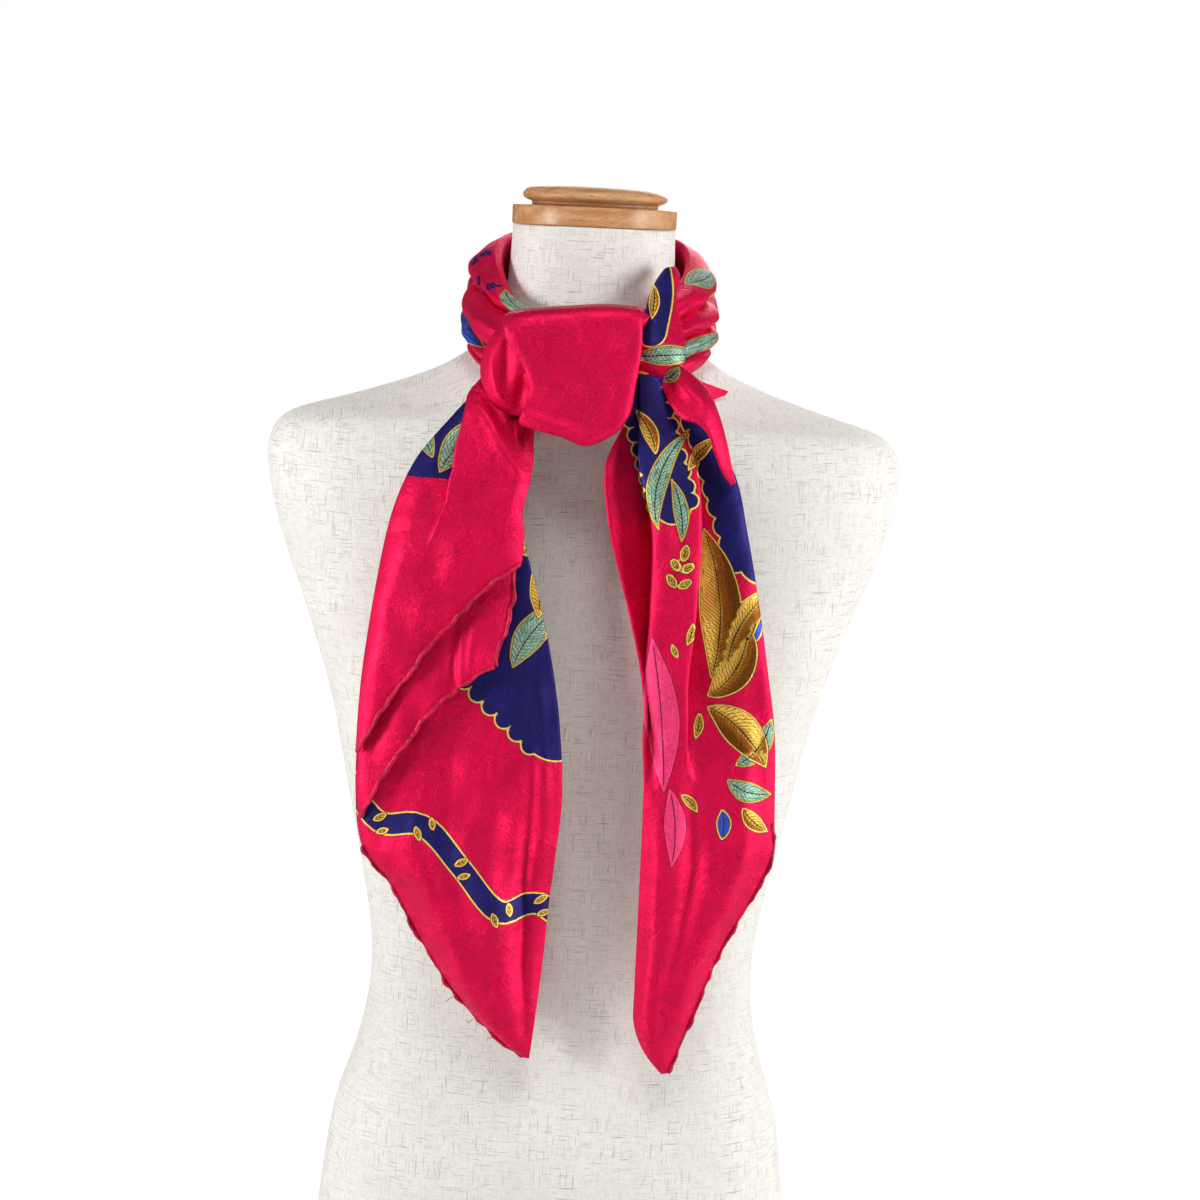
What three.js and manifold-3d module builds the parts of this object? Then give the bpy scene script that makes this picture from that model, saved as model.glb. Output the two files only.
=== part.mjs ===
// A silk square scarf, folded on its diagonal into a band, worn round the neck of a limbless
// dress form and tied in front with one wrapped knot. Millimetres, +Z up, the front faces -Y,
// and the origin is the middle of the form's flat base.
import * as THREE from "three";
import { mergeVertices } from "three/addons/utils/BufferGeometryUtils.js";
import Module from "manifold-3d";

const wasm = await Module();
wasm.setup();

// Driving dimensions.
const CLOTH = 1.4; // wall of a stretch of cloth
const HEM = 3.0; // rolled hem at a cut edge
const SEAT = 0.3; // gap between pieces that touch
const CUT_BACK = 0.55; // how far a seated body is cut back along its neighbour's corner normals
const NECK_TOP = 687; // the form's covered neck ends here
const NECK_RING = { radius: 50.5, high: 12, bevel: 1 };
const NECK_KNOB = { foot: 40, radius: 44.5, high: 13, widest: 5.5, flat: 31 };
const COLLAR_CENTRE = { x: 0, y: -4 };
const COLLAR_START = 16; // degrees from the front, going round by the wearer's right
const COLLAR_END = 344;
const COLLAR_BACK = { start: 118, end: 242 };
const HALF_CUT = 0.25; // degrees, each side of the cut between two stretches of the band

// Steps of each grid: round the section or across the cloth, then along it.
const GRID = {
  torso: [32, 36],
  turned: 32,
  collar: [24, 16],
  leftFront: [14, 18],
  leftMiddle: [12, 12],
  leftBack: [12, 20],
  rightPleats: [26, 22],
  rightFlap: [6, 10],
  wrap: [16, 12],
  innerFold: [6, 8],
  corner: [4, 4],
  core: [24, 12],
};

const COLOURS = {
  silk: { color: 0xc8144e, roughness: 0.45, metalness: 0 },
  linen: { color: 0xe9e4da, roughness: 0.9, metalness: 0 },
  wood: { color: 0xc08c5c, roughness: 0.4, metalness: 0 },
};

// Rows of numbers under named columns.
function table(names, rows) {
  return rows.map((row) => Object.fromEntries(names.map((name, i) => [name, row[i]])));
}

// Sections of the torso, from the flat base to the top of the neck.
const TORSO = table(
  ["z", "half", "front", "back", "square"],
  [
    [0, 146, 90, 98, 2.3],
    [30, 150, 93, 103, 2.3],
    [82, 147, 92, 105, 2.3],
    [131, 140, 87, 99, 2.3],
    [170, 128, 81, 89, 2.3],
    [206, 121, 77, 81, 2.3],
    [244, 121.5, 77, 81, 2.3],
    [294, 130.5, 80, 88, 2.4],
    [344, 141, 83, 97, 2.5],
    [394, 152, 85, 104, 2.6],
    [444, 168, 87, 108, 2.6],
    [494, 186, 88, 108, 2.5],
    [526, 194, 88, 104, 2.4],
    [550, 195, 86, 97, 2.2],
    [566, 183, 83, 88, 2.0],
    [578, 146, 77, 81, 1.8],
    [590, 110, 71, 74, 1.8],
    [602, 84, 66, 67, 1.9],
    [618, 64, 61, 58, 2.0],
    [640, 54, 57.5, 50, 2.0],
    [664, 51, 56, 46.5, 2.0],
    [NECK_TOP, 50, 56, 44.5, 2.0],
  ],
);

// Sections of the band round the neck: the top edge, the bottom edge, the bulge and the thickness.
const COLLAR = table(
  ["turn", "topR", "topZ", "bottomR", "bottomZ", "bulge", "thick"],
  [
    [12, 71, 630, 83, 588, 1, 13],
    [50, 63, 645, 81, 600, 2, 14],
    [80, 60.5, 666, 73, 611, 3, 12.5],
    [110, 60, 679, 71, 617, 3, 13],
    [145, 61, 684, 71, 614, 3, 15],
    [180, 61, 685, 71, 611.5, 3, 15],
    [215, 61, 684, 71, 614, 3, 15],
    [250, 60, 679, 71, 616, 3, 13],
    [280, 60, 665, 73, 611, 3, 12],
    [310, 64, 651, 80, 602, 2, 13],
    [348, 73, 634, 83, 592, 1, 13],
  ],
);

// Lapped folds that run along the band: where each starts and ends across the band, from 0 at
// its bottom edge to 1 at its top edge.
const COLLAR_FOLDS = table(
  ["startTurn", "startPlace", "endTurn", "endPlace", "high", "above", "below"],
  [
    [20, 0.62, 150, 1.05, 5, 0.05, 0.3],
    [20, 0.2, 200, 0.95, 5, 0.05, 0.3],
    [95, 0.05, 290, 0.72, 5, 0.05, 0.3],
    [200, 0.12, 345, 0.55, 5, 0.05, 0.28],
    [240, 0.9, 330, 0.78, 5, 0.06, 0.25],
  ],
);

// The wrap over the front of the knot, from its free right edge round to the left. Its top edge
// turns back over the knot, and its bottom edge stands clear in front of the tails.
const WRAP = table(
  ["x", "topZ", "bottomZ", "topY", "middleY", "bottomY", "round"],
  [
    [25, 634, 596, -84, -93, -92, 2.2],
    [30, 640, 588, -87, -104, -101, 2.4],
    [26.5, 642.5, 578, -89, -112, -107, 2.6],
    [15, 643, 566, -90, -121, -111, 2.6],
    [1, 642.5, 560.5, -90, -126, -114, 2.6],
    [-13, 641, 565, -90, -127, -115, 2.6],
    [-27, 638.5, 570.5, -90, -124, -114, 2.4],
    [-40, 634, 575, -89, -118, -112, 2.2],
    [-49, 628, 581, -87, -110, -107, 2.0],
    [-54, 621, 588, -84, -101, -101, 2.0],
  ],
);
const WRAP_PLEATS = { start: 0.62, count: 3, high: 2.2, near: 0.25 };

// The left tail hangs in three layers. Each row is a line across a layer, from its left end to
// its right end: belly pushes the middle of the line forward and bow lifts it.
const PANEL = [
  "leftX", "leftZ", "leftY", "rightX", "rightZ", "rightY", "belly", "bow",
];
const FOLD = ["topV", "topU", "endV", "endU", "high", "leftWide", "rightWide"];

const LEFT_FRONT = {
  rows: table(PANEL, [
    [-55, 612, -80, -42, 606, -88, 1, 0],
    [-61, 598, -90, -36, 592, -94, 2, 0],
    [-67, 586, -97, -31, 578, -99, 2, 0],
    [-77, 574, -105, -29.5, 560, -109, 4, 0],
    [-98, 547, -108, -30, 541, -116, 5, 0],
    [-111, 514, -110, -34, 521, -120, 5, 2],
    [-119, 469, -112, -32.5, 507, -121, 5, 5],
    [-125, 417, -113, -33, 498, -121, 4, 9],
    [-127, 372, -113, -33, 491, -121, 3, 13],
  ]),
  folds: table(FOLD, [
    [0.24, 0.0, 0.64, 0.42, 7, 5, 26],
    [0.25, 0.5, 0.55, 1.0, 4, 9, 6],
    [0.55, 0.75, 0.98, 0.3, 2.5, 14, 14],
    [0.66, 0.1, 1.0, 0.12, 2.0, 8, 12],
  ]),
};

const LEFT_MIDDLE = {
  rows: table(PANEL, [
    [-58, 592, -87, -39, 588, -91, 1, 0],
    [-78, 560, -101, -37, 552, -105, 1, 0],
    [-106, 510, -104, -38, 512, -111, 2, 0],
    [-118, 459, -106, -37, 476, -114, 3, 4],
    [-125, 402, -107, -40, 453, -115, 3, 9],
    [-126.5, 353, -108, -44, 437, -115, 3, 14],
    [-124, 331, -108, -46, 427, -115, 3, 17],
  ]),
  folds: table(FOLD, [
    [0.58, 0.62, 1.0, 0.78, -2.5, 7, 5],
    [0.62, 0.3, 1.0, 0.35, 1.5, 10, 10],
  ]),
};

const LEFT_BACK = {
  rows: table(PANEL, [
    [-57, 590, -82, -40, 586, -86, 0, 0],
    [-74, 562, -96, -38, 556, -100, 0, 0],
    [-103, 512, -98, -33, 506, -106, 0, 0],
    [-117, 460, -100, -19, 458, -108.5, 1, 0],
    [-125, 402, -101.5, -8, 405, -108, 2, 0],
    [-126.5, 352, -102.5, -3, 352, -106, 3, 0],
    [-121.5, 314, -103, -5.5, 312, -104, 4, -2],
    [-104, 290, -100, -8, 284, -103, 4, -3],
    [-85, 257, -99, -10, 252, -102, 4, -3],
    [-61, 223, -99, -12.5, 223, -101, 3, -3],
    [-38, 201, -99.5, -14.5, 201, -100.5, 2, -2],
    [-20, 187, -100, -16, 187, -100, 0.5, 0],
  ]),
  folds: table(FOLD, [
    [0.27, 0.05, 0.6, 0.02, 3, 4, 13],
    [0.36, 0.45, 0.77, 0.4, -2.5, 12, 12],
    [0.41, 0.68, 0.86, 0.62, 2.5, 12, 10],
  ]),
};

// The right tail is one cloth with two lapped pleats. Each row is a section: the cloth runs from
// its left edge back into a valley, forward over the strip, back into a tuck, and on to its
// right edge.
const RIGHT_PLEATS = table(
  [
    "leftZ", "rightZ", "leftX", "leftY", "valleyX", "valleyY", "foldX", "foldY",
    "ridgeX", "ridgeY", "tuckX", "tuckY", "rightX", "rightY",
  ],
  [
    [604, 600, 23, -89, 28, -87.5, 32, -91, 42, -93, 46, -89, 54, -86],
    [576, 578, 24, -98, 42, -94, 33, -102, 55, -104, 48, -96, 64, -94],
    [548, 548, 14, -107, 47, -98, 34, -111, 67, -113, 53, -101, 87, -100],
    [512, 512, 18, -112, 54, -103, 43, -117, 71, -120, 58, -106, 98.5, -105],
    [462, 462, 32.5, -114, 54, -106, 44, -119, 70, -121, 59, -109, 109, -106],
    [428, 428, 41.5, -114, 50, -108, 43.5, -117, 67.5, -120, 60, -110, 115, -107],
    [402, 402, 45, -113, 46.5, -111, 49, -115, 68, -118, 65, -111, 119.5, -107],
    [376, 376, 44.5, -112, 49, -112, 56, -114, 69, -115, 76, -112, 122, -106],
    [340, 340, 45, -108, 52, -110.5, 62, -112, 76, -111, 94, -110, 123.5, -104],
    [300, 318, 45, -104, 53, -108, 66, -110, 80, -108, 98, -107, 124.5, -101],
    [262, 292, 45, -101, 53, -106, 65, -108, 78, -106, 92, -105, 114, -101],
    [232, 262, 45, -99, 52, -104, 62, -106, 72, -105, 82, -104, 98, -101],
    [212, 231, 45.5, -99, 51, -103, 58, -105, 66, -104, 74, -103, 86, -101],
    [196, 203, 51.5, -100, 55, -102, 59, -103, 64, -103, 70, -102, 76, -101],
    [181, 181, 63, -101, 64, -101.3, 65, -101.5, 66, -101.5, 67, -101.3, 68, -101],
  ],
);

// The fold that turns over the top of the right tail, from the knot to its point.
const RIGHT_FLAP = {
  rows: table(PANEL, [
    [45, 597, -100, 47, 606, -94, 0, 0],
    [50, 587, -111, 54, 609, -97, 3, 0],
    [57, 579.5, -118, 64, 603, -102, 5, 0],
    [66, 577, -121, 73, 594, -106, 5, 0],
    [74.5, 572, -121, 80, 580, -110, 3, 0],
    [81.5, 562, -119, 85, 566, -112, 1.5, 0],
    [86.5, 550, -111, 88.5, 552, -109, 0.5, 0],
    [89, 541, -102.6, 91.5, 541.5, -103, 0, 0],
  ]),
  folds: table(FOLD, [[0.08, 0.35, 0.4, 0.3, -3, 5, 5]]),
};

// The inner fold of the band that stands up beside the neck, at the right front.
const INNER_FOLD = {
  rows: table(PANEL, [
    [32, 638, -60, 35, 652, -53, 0, 0],
    [38.4, 630, -55.6, 43.5, 663, -43, 1, 0],
    [44, 628, -47, 48, 662, -33, 1, 0],
    [50, 626, -39, 50.5, 656, -25, 0, 0],
  ]),
  folds: [],
};

// The corner of the square that sticks out under the band, over the right shoulder.
const CORNER = {
  rows: table(PANEL, [
    [60, 588, -61, 66, 597, -61, 0, 0],
    [70, 586, -58, 76, 596, -56, 0, 0],
    [84, 590, -48, 86, 592.5, -47.5, 0, 0],
  ]),
  folds: [],
};

// The layers hidden inside the knot, as one rounded body.
const KNOT_CORE = table(
  ["z", "x", "y", "halfX", "halfY"],
  [
    [572, -6, -92, 18, 8],
    [580, -8, -93, 30, 13],
    [600, -11, -93, 37, 17],
    [620, -10, -91, 35, 17],
    [633, -8, -85, 24, 11],
  ],
);

function lerp(a, b, share) {
  return a + (b - a) * share;
}

function catmullRom(before, from, to, after, t) {
  const rise = (to - before) / 2;
  const leave = (after - from) / 2;
  const square = t * t;
  const cube = t * square;
  return (
    (2 * from - 2 * to + rise + leave) * cube +
    (3 * to - 3 * from - 2 * rise - leave) * square +
    rise * t +
    from
  );
}

// A smooth value through a list, at a place from 0, its first number, to 1, its last.
function through(values, place) {
  const last = values.length - 1;
  const at = THREE.MathUtils.clamp(place, 0, 1) * last;
  const i = Math.min(Math.floor(at), last - 1);
  const pick = (k) => values[THREE.MathUtils.clamp(k, 0, last)];
  return catmullRom(pick(i - 1), pick(i), pick(i + 1), pick(i + 2), at - i);
}

function column(rows, name, place) {
  return through(rows.map((row) => row[name]), place);
}

// How far a fold stands out: a ridge along a slanting line, each side with a width of its own.
function foldHeight(fold, u, v, width) {
  const along = (v - fold.topV) / (fold.endV - fold.topV);
  if (along <= 0 || along >= 1) return 0;
  const off = (u - lerp(fold.topU, fold.endU, along)) * width;
  const reach = off < 0 ? fold.leftWide : fold.rightWide;
  const fade = Math.sin(Math.PI * Math.pow(along, 0.7));
  return fold.high * fade * Math.exp(-Math.pow(off / reach, 2));
}

// A point of a hanging layer: u goes from its left end to its right end, v from top to bottom.
function panelPoint(panel, u, v) {
  const at = (name) => column(panel.rows, name, v);
  const arch = 4 * u * (1 - u);
  const width = Math.hypot(at("rightX") - at("leftX"), at("rightZ") - at("leftZ"));
  let y = lerp(at("leftY"), at("rightY"), u) - at("belly") * arch;
  for (const fold of panel.folds) y -= foldHeight(fold, u, v, width);
  return new THREE.Vector3(
    lerp(at("leftX"), at("rightX"), u),
    y,
    lerp(at("leftZ"), at("rightZ"), u) + at("bow") * arch,
  );
}

function pleatPoint(u, v) {
  const at = (name) => column(RIGHT_PLEATS, name, v);
  const knots = ["left", "valley", "fold", "ridge", "tuck", "right"];
  const x = through(knots.map((knot) => at(knot + "X")), u);
  const y = through(knots.map((knot) => at(knot + "Y")), u);
  const share = (x - at("leftX")) / (at("rightX") - at("leftX"));
  return new THREE.Vector3(x, y, lerp(at("leftZ"), at("rightZ"), share));
}

// A point of the wrap: u goes from its right edge to its left end, v from top to bottom.
function wrapPoint(u, v) {
  const at = (name) => column(WRAP, name, u);
  const across = Math.abs(2 * v - 1);
  const crown = Math.pow(1 - Math.pow(across, at("round")), 1 / at("round"));
  let y = lerp(at(v < 0.5 ? "topY" : "bottomY"), at("middleY"), crown);
  const pleated = THREE.MathUtils.smoothstep(u, WRAP_PLEATS.start, 1);
  y -= WRAP_PLEATS.high * pleated * crown * Math.sin(2 * Math.PI * WRAP_PLEATS.count * v);
  return new THREE.Vector3(at("x"), y, lerp(at("topZ"), at("bottomZ"), v));
}

function collarPlace(turn) {
  const first = COLLAR[0].turn;
  const last = COLLAR[COLLAR.length - 1].turn;
  const i = COLLAR.findIndex((row) => row.turn >= turn);
  if (i <= 0) return THREE.MathUtils.clamp((turn - first) / (last - first), 0, 1);
  const share = (turn - COLLAR[i - 1].turn) / (COLLAR[i].turn - COLLAR[i - 1].turn);
  return (i - 1 + share) / (COLLAR.length - 1);
}

// The lapped folds stand out on the outer face and drop steeply above their edge.
function collarFold(turn, place) {
  let high = 0;
  for (const fold of COLLAR_FOLDS) {
    const along = (turn - fold.startTurn) / (fold.endTurn - fold.startTurn);
    if (along <= 0 || along >= 1) continue;
    const off = place - lerp(fold.startPlace, fold.endPlace, along);
    const reach = off > 0 ? fold.above : fold.below;
    high += fold.high * Math.pow(Math.sin(Math.PI * along), 0.4) * Math.exp(-Math.pow(off / reach, 2));
  }
  return high;
}

// A point of the band's skin: the outer face goes up from round 0 to a half, the inner one down.
function collarPoint(round, turn) {
  const at = (name) => column(COLLAR, name, collarPlace(turn));
  const place = (1 - Math.cos(2 * Math.PI * round)) / 2;
  const side = Math.sin(2 * Math.PI * round);
  const along = new THREE.Vector2(at("topR") - at("bottomR"), at("topZ") - at("bottomZ"));
  const out = new THREE.Vector2(along.y, -along.x).normalize();
  let off = (at("thick") / 2) * Math.sign(side) * Math.pow(Math.abs(side), 0.75);
  if (side > 0) off += (collarFold(turn, place) - 2) * Math.min(1, 2 * side);
  const radius = lerp(at("bottomR"), at("topR"), place) + at("bulge") * 4 * place * (1 - place);
  const z = lerp(at("bottomZ"), at("topZ"), place);
  const angle = THREE.MathUtils.degToRad(turn);
  const reach = radius + out.x * off;
  return new THREE.Vector3(
    COLLAR_CENTRE.x - Math.sin(angle) * reach,
    COLLAR_CENTRE.y - Math.cos(angle) * reach,
    z + out.y * off,
  );
}

function torsoPoint(round, up) {
  const at = (name) => column(TORSO, name, up);
  const power = 2 / at("square");
  const bent = (value) => Math.sign(value) * Math.pow(Math.abs(value), power);
  const c = bent(Math.cos(2 * Math.PI * round));
  const s = bent(Math.sin(2 * Math.PI * round));
  return new THREE.Vector3(at("half") * c, s * (s < 0 ? at("front") : at("back")), at("z"));
}

function corePoint(round, up) {
  const at = (name) => column(KNOT_CORE, name, up);
  const angle = 2 * Math.PI * round;
  return new THREE.Vector3(
    at("x") + at("halfX") * Math.cos(angle),
    at("y") + at("halfY") * Math.sin(angle),
    at("z"),
  );
}

// A closed body from points and triangles, turned so that its faces point out.
function closedGeometry(points, faces) {
  let volume = 0;
  for (const [a, b, c] of faces) volume += points[a].dot(points[b].clone().cross(points[c]));
  const index = faces.flatMap(([a, b, c]) => (volume > 0 ? [a, b, c] : [a, c, b]));
  const geometry = new THREE.BufferGeometry().setFromPoints(points);
  geometry.setIndex(index);
  geometry.computeVertexNormals();
  return geometry;
}

// A wall of cloth on a surface. Its cut edges, named in hems, are as thick as a rolled hem.
function wallGeometry(point, uSteps, vSteps, hems = {}) {
  const small = 1e-3;
  const points = [];
  const faces = [];
  const row = uSteps + 1;
  const side = row * (vSteps + 1);
  for (const sign of [-1, 1]) {
    for (let j = 0; j <= vSteps; j++) {
      for (let i = 0; i <= uSteps; i++) {
        const u = i / uSteps;
        const v = j / vSteps;
        const alongU = point(Math.min(u + small, 1), v).sub(point(Math.max(u - small, 0), v));
        const alongV = point(u, Math.min(v + small, 1)).sub(point(u, Math.max(v - small, 0)));
        const out = alongV.cross(alongU).normalize();
        const hemmed =
          (hems.bottom && j === vSteps) ||
          (hems.left && v >= hems.left && i === 0) ||
          (hems.right && v >= hems.right && i === uSteps);
        points.push(point(u, v).addScaledVector(out, (sign * (hemmed ? HEM : CLOTH)) / 2));
      }
    }
  }
  const quad = (a, b, c, d) => faces.push([a, b, c], [a, c, d]);
  for (let j = 0; j < vSteps; j++) {
    for (let i = 0; i < uSteps; i++) {
      const a = j * row + i;
      quad(a, a + 1, a + row + 1, a + row);
      quad(side + a, side + a + row, side + a + row + 1, side + a + 1);
    }
  }
  for (let i = 0; i < uSteps; i++) {
    const low = vSteps * row + i;
    quad(i + 1, i, side + i, side + i + 1);
    quad(low, low + 1, side + low + 1, side + low);
  }
  for (let j = 0; j < vSteps; j++) {
    const left = j * row;
    const right = left + uSteps;
    quad(left, left + row, side + left + row, side + left);
    quad(right + row, right, side + right, side + right + row);
  }
  return closedGeometry(points, faces);
}

// A solid skinned over sections that close on themselves, with a flat cap at each end.
function roundGeometry(point, around, along) {
  const points = [];
  const faces = [];
  for (let j = 0; j <= along; j++) {
    for (let i = 0; i < around; i++) points.push(point(i / around, j / along));
  }
  for (let j = 0; j < along; j++) {
    for (let i = 0; i < around; i++) {
      const a = j * around + i;
      const b = j * around + ((i + 1) % around);
      faces.push([a, b, b + around], [a, b + around, a + around]);
    }
  }
  for (const end of [0, along]) {
    const centre = new THREE.Vector3();
    const first = end * around;
    for (let i = 0; i < around; i++) centre.addScaledVector(points[first + i], 1 / around);
    points.push(centre);
    const hub = points.length - 1;
    for (let i = 0; i < around; i++) {
      const a = first + i;
      const b = first + ((i + 1) % around);
      faces.push(end === 0 ? [hub, b, a] : [hub, a, b]);
    }
  }
  return closedGeometry(points, faces);
}

function toSolid(geometry) {
  const bare = new THREE.BufferGeometry();
  bare.setAttribute("position", geometry.getAttribute("position"));
  bare.setIndex(geometry.getIndex());
  const merged = mergeVertices(bare, 1e-3);
  return new wasm.Manifold(
    new wasm.Mesh({
      numProp: 3,
      vertProperties: merged.attributes.position.array,
      triVerts: new Uint32Array(merged.index.array),
    }),
  );
}

function toGeometry(solid) {
  const mesh = solid.getMesh();
  const geometry = new THREE.BufferGeometry();
  geometry.setAttribute("position", new THREE.BufferAttribute(mesh.vertProperties, 3));
  geometry.setIndex(new THREE.BufferAttribute(mesh.triVerts, 1));
  geometry.computeVertexNormals();
  return geometry;
}

// The same body with its faces moved out, to keep a gap round it when it is cut from another.
function grown(geometry, gap) {
  const copy = geometry.clone();
  const position = copy.getAttribute("position");
  const normal = copy.getAttribute("normal");
  const moved = new THREE.Vector3();
  for (let i = 0; i < position.count; i++) {
    moved.fromBufferAttribute(position, i);
    moved.addScaledVector(new THREE.Vector3().fromBufferAttribute(normal, i), gap);
    position.setXYZ(i, moved.x, moved.y, moved.z);
  }
  return copy;
}

// A body cut back from its neighbours, so that it seats against them. The largest part is kept.
function seated(geometry, neighbours) {
  let solid = toSolid(geometry);
  for (const neighbour of neighbours) {
    solid = solid.subtract(toSolid(grown(neighbour, CUT_BACK)));
  }
  const parts = solid.decompose().sort((a, b) => b.volume() - a.volume());
  return toGeometry(parts[0]);
}

function neckRing() {
  const { radius, high, bevel } = NECK_RING;
  const profile = [
    [0, 0],
    [radius - bevel, 0],
    [radius, bevel],
    [radius, high - bevel],
    [radius - bevel, high],
    [0, high],
  ];
  return new THREE.LatheGeometry(profile.map(([r, z]) => new THREE.Vector2(r, z)), GRID.turned);
}

function neckKnob() {
  const { foot, radius, high, widest, flat } = NECK_KNOB;
  const profile = [new THREE.Vector2(0, 0), new THREE.Vector2(foot, 0)];
  const steps = 5;
  for (let i = 1; i <= steps; i++) {
    const angle = (i / steps) * (Math.PI / 2);
    profile.push(
      new THREE.Vector2(lerp(foot, radius, Math.sin(angle)), widest * (1 - Math.cos(angle))),
    );
  }
  for (let i = 1; i <= steps; i++) {
    const angle = (i / steps) * (Math.PI / 2);
    profile.push(
      new THREE.Vector2(lerp(flat, radius, Math.cos(angle)), lerp(widest, high, Math.sin(angle))),
    );
  }
  profile.push(new THREE.Vector2(0, high));
  return new THREE.LatheGeometry(profile, GRID.turned);
}

// A turned wooden piece stands on the neck: the lathe turns about +Y, so it is tipped up to +Z.
function turned(geometry, z) {
  const neck = TORSO[TORSO.length - 1];
  geometry.rotateX(Math.PI / 2);
  geometry.translate(0, (neck.back - neck.front) / 2, z);
  return geometry;
}

function collarStretch(start, end) {
  return roundGeometry((round, share) => collarPoint(round, lerp(start, end, share)), ...GRID.collar);
}

function panelWall(panel, grid, hems) {
  return wallGeometry((u, v) => panelPoint(panel, u, v), ...grid, hems);
}

const part = new THREE.Group();

function add(name, geometry, look) {
  const mesh = new THREE.Mesh(geometry, new THREE.MeshStandardMaterial(COLOURS[look]));
  mesh.name = name;
  part.add(mesh);
}

// The dress form.
add("form_torso", roundGeometry(torsoPoint, ...GRID.torso), "linen");
add("form_neck_ring", turned(neckRing(), NECK_TOP + SEAT), "wood");
add("form_neck_knob", turned(neckKnob(), NECK_TOP + NECK_RING.high + 2 * SEAT), "wood");

// The band round the neck.
const collarLeft = collarStretch(COLLAR_START, COLLAR_BACK.start - HALF_CUT);
const collarBack = collarStretch(COLLAR_BACK.start + HALF_CUT, COLLAR_BACK.end - HALF_CUT);
const collarRight = collarStretch(COLLAR_BACK.end + HALF_CUT, COLLAR_END);
const innerFold = panelWall(INNER_FOLD, GRID.innerFold);
add("scarf_collar_left", collarLeft, "silk");
add("scarf_collar_back", collarBack, "silk");
add("scarf_collar_right", collarRight, "silk");
add("scarf_inner_fold", innerFold, "silk");
add("scarf_corner", panelWall(CORNER, GRID.corner), "silk");

// The tails. Their cut edges are hemmed, and a side hem starts part of the way down.
const leftFront = panelWall(LEFT_FRONT, GRID.leftFront, { bottom: true });
const leftMiddle = panelWall(LEFT_MIDDLE, GRID.leftMiddle, { bottom: true, right: 0.58 });
const leftBack = panelWall(LEFT_BACK, GRID.leftBack, { bottom: true, left: 0.59 });
const rightPleats = wallGeometry(pleatPoint, ...GRID.rightPleats, { bottom: true, right: 0.66 });
const rightFlap = panelWall(RIGHT_FLAP, GRID.rightFlap);
add("scarf_tail_left_front", leftFront, "silk");
add("scarf_tail_left_middle", leftMiddle, "silk");
add("scarf_tail_left_back", leftBack, "silk");
add("scarf_tail_right_pleats", rightPleats, "silk");
add("scarf_tail_right_flap", rightFlap, "silk");

// The knot: the wrap, and the core of hidden layers cut back to seat against what it meets.
const wrap = wallGeometry(wrapPoint, ...GRID.wrap);
const core = seated(roundGeometry(corePoint, ...GRID.core), [
  wrap,
  leftFront,
  leftMiddle,
  leftBack,
  rightPleats,
  rightFlap,
  innerFold,
  collarLeft,
  collarRight,
]);
add("scarf_knot_wrap", wrap, "silk");
add("scarf_knot_core", core, "silk");

export default part;
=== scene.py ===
import math
from collections import namedtuple

import bmesh
import bpy
import numpy as np
from bpy.props import FloatProperty, FloatVectorProperty, PointerProperty
from mathutils import Euler, Matrix, Vector


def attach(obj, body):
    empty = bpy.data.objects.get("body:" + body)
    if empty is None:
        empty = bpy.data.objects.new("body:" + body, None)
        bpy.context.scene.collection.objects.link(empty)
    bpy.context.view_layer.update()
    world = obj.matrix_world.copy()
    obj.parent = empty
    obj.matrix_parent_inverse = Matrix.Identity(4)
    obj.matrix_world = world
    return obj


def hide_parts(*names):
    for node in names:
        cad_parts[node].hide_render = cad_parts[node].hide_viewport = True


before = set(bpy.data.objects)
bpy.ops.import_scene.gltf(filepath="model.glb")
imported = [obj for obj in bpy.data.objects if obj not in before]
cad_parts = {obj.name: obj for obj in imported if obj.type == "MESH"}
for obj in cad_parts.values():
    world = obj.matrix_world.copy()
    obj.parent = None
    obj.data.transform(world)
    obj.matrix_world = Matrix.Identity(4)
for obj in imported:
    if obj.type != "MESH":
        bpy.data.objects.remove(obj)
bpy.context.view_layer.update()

bl_info = {
    "name": "Silk square on a dress form",
    "version": (1, 0, 0),
    "blender": (4, 5, 0),
    "location": "3D View > Sidebar > Silk square",
    "description": "Builds a knotted silk square and the dress form that it hangs on",
    "category": "Object",
}

MM = 0.001
FAR = 90.0  # mm, the distance kept where a cloth has no print of a kind

# Shapes that the solids have too, in millimetres


def table(names, rows):
    """Rows of numbers as one array for each named column."""
    return {name: np.array(values, float) for name, values in zip(names.split(), zip(*rows))}


# A ridge along a slanting line, each side with a width of its own in mm. A negative height
# makes it a trough. u goes across the cloth and v down it, both from 0 to 1.
Fold = namedtuple("Fold", "top_v top_u end_v end_u high left_wide right_wide")


def folds(rows):
    """A fold from each row of numbers."""
    return [Fold(*row) for row in rows]


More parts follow.
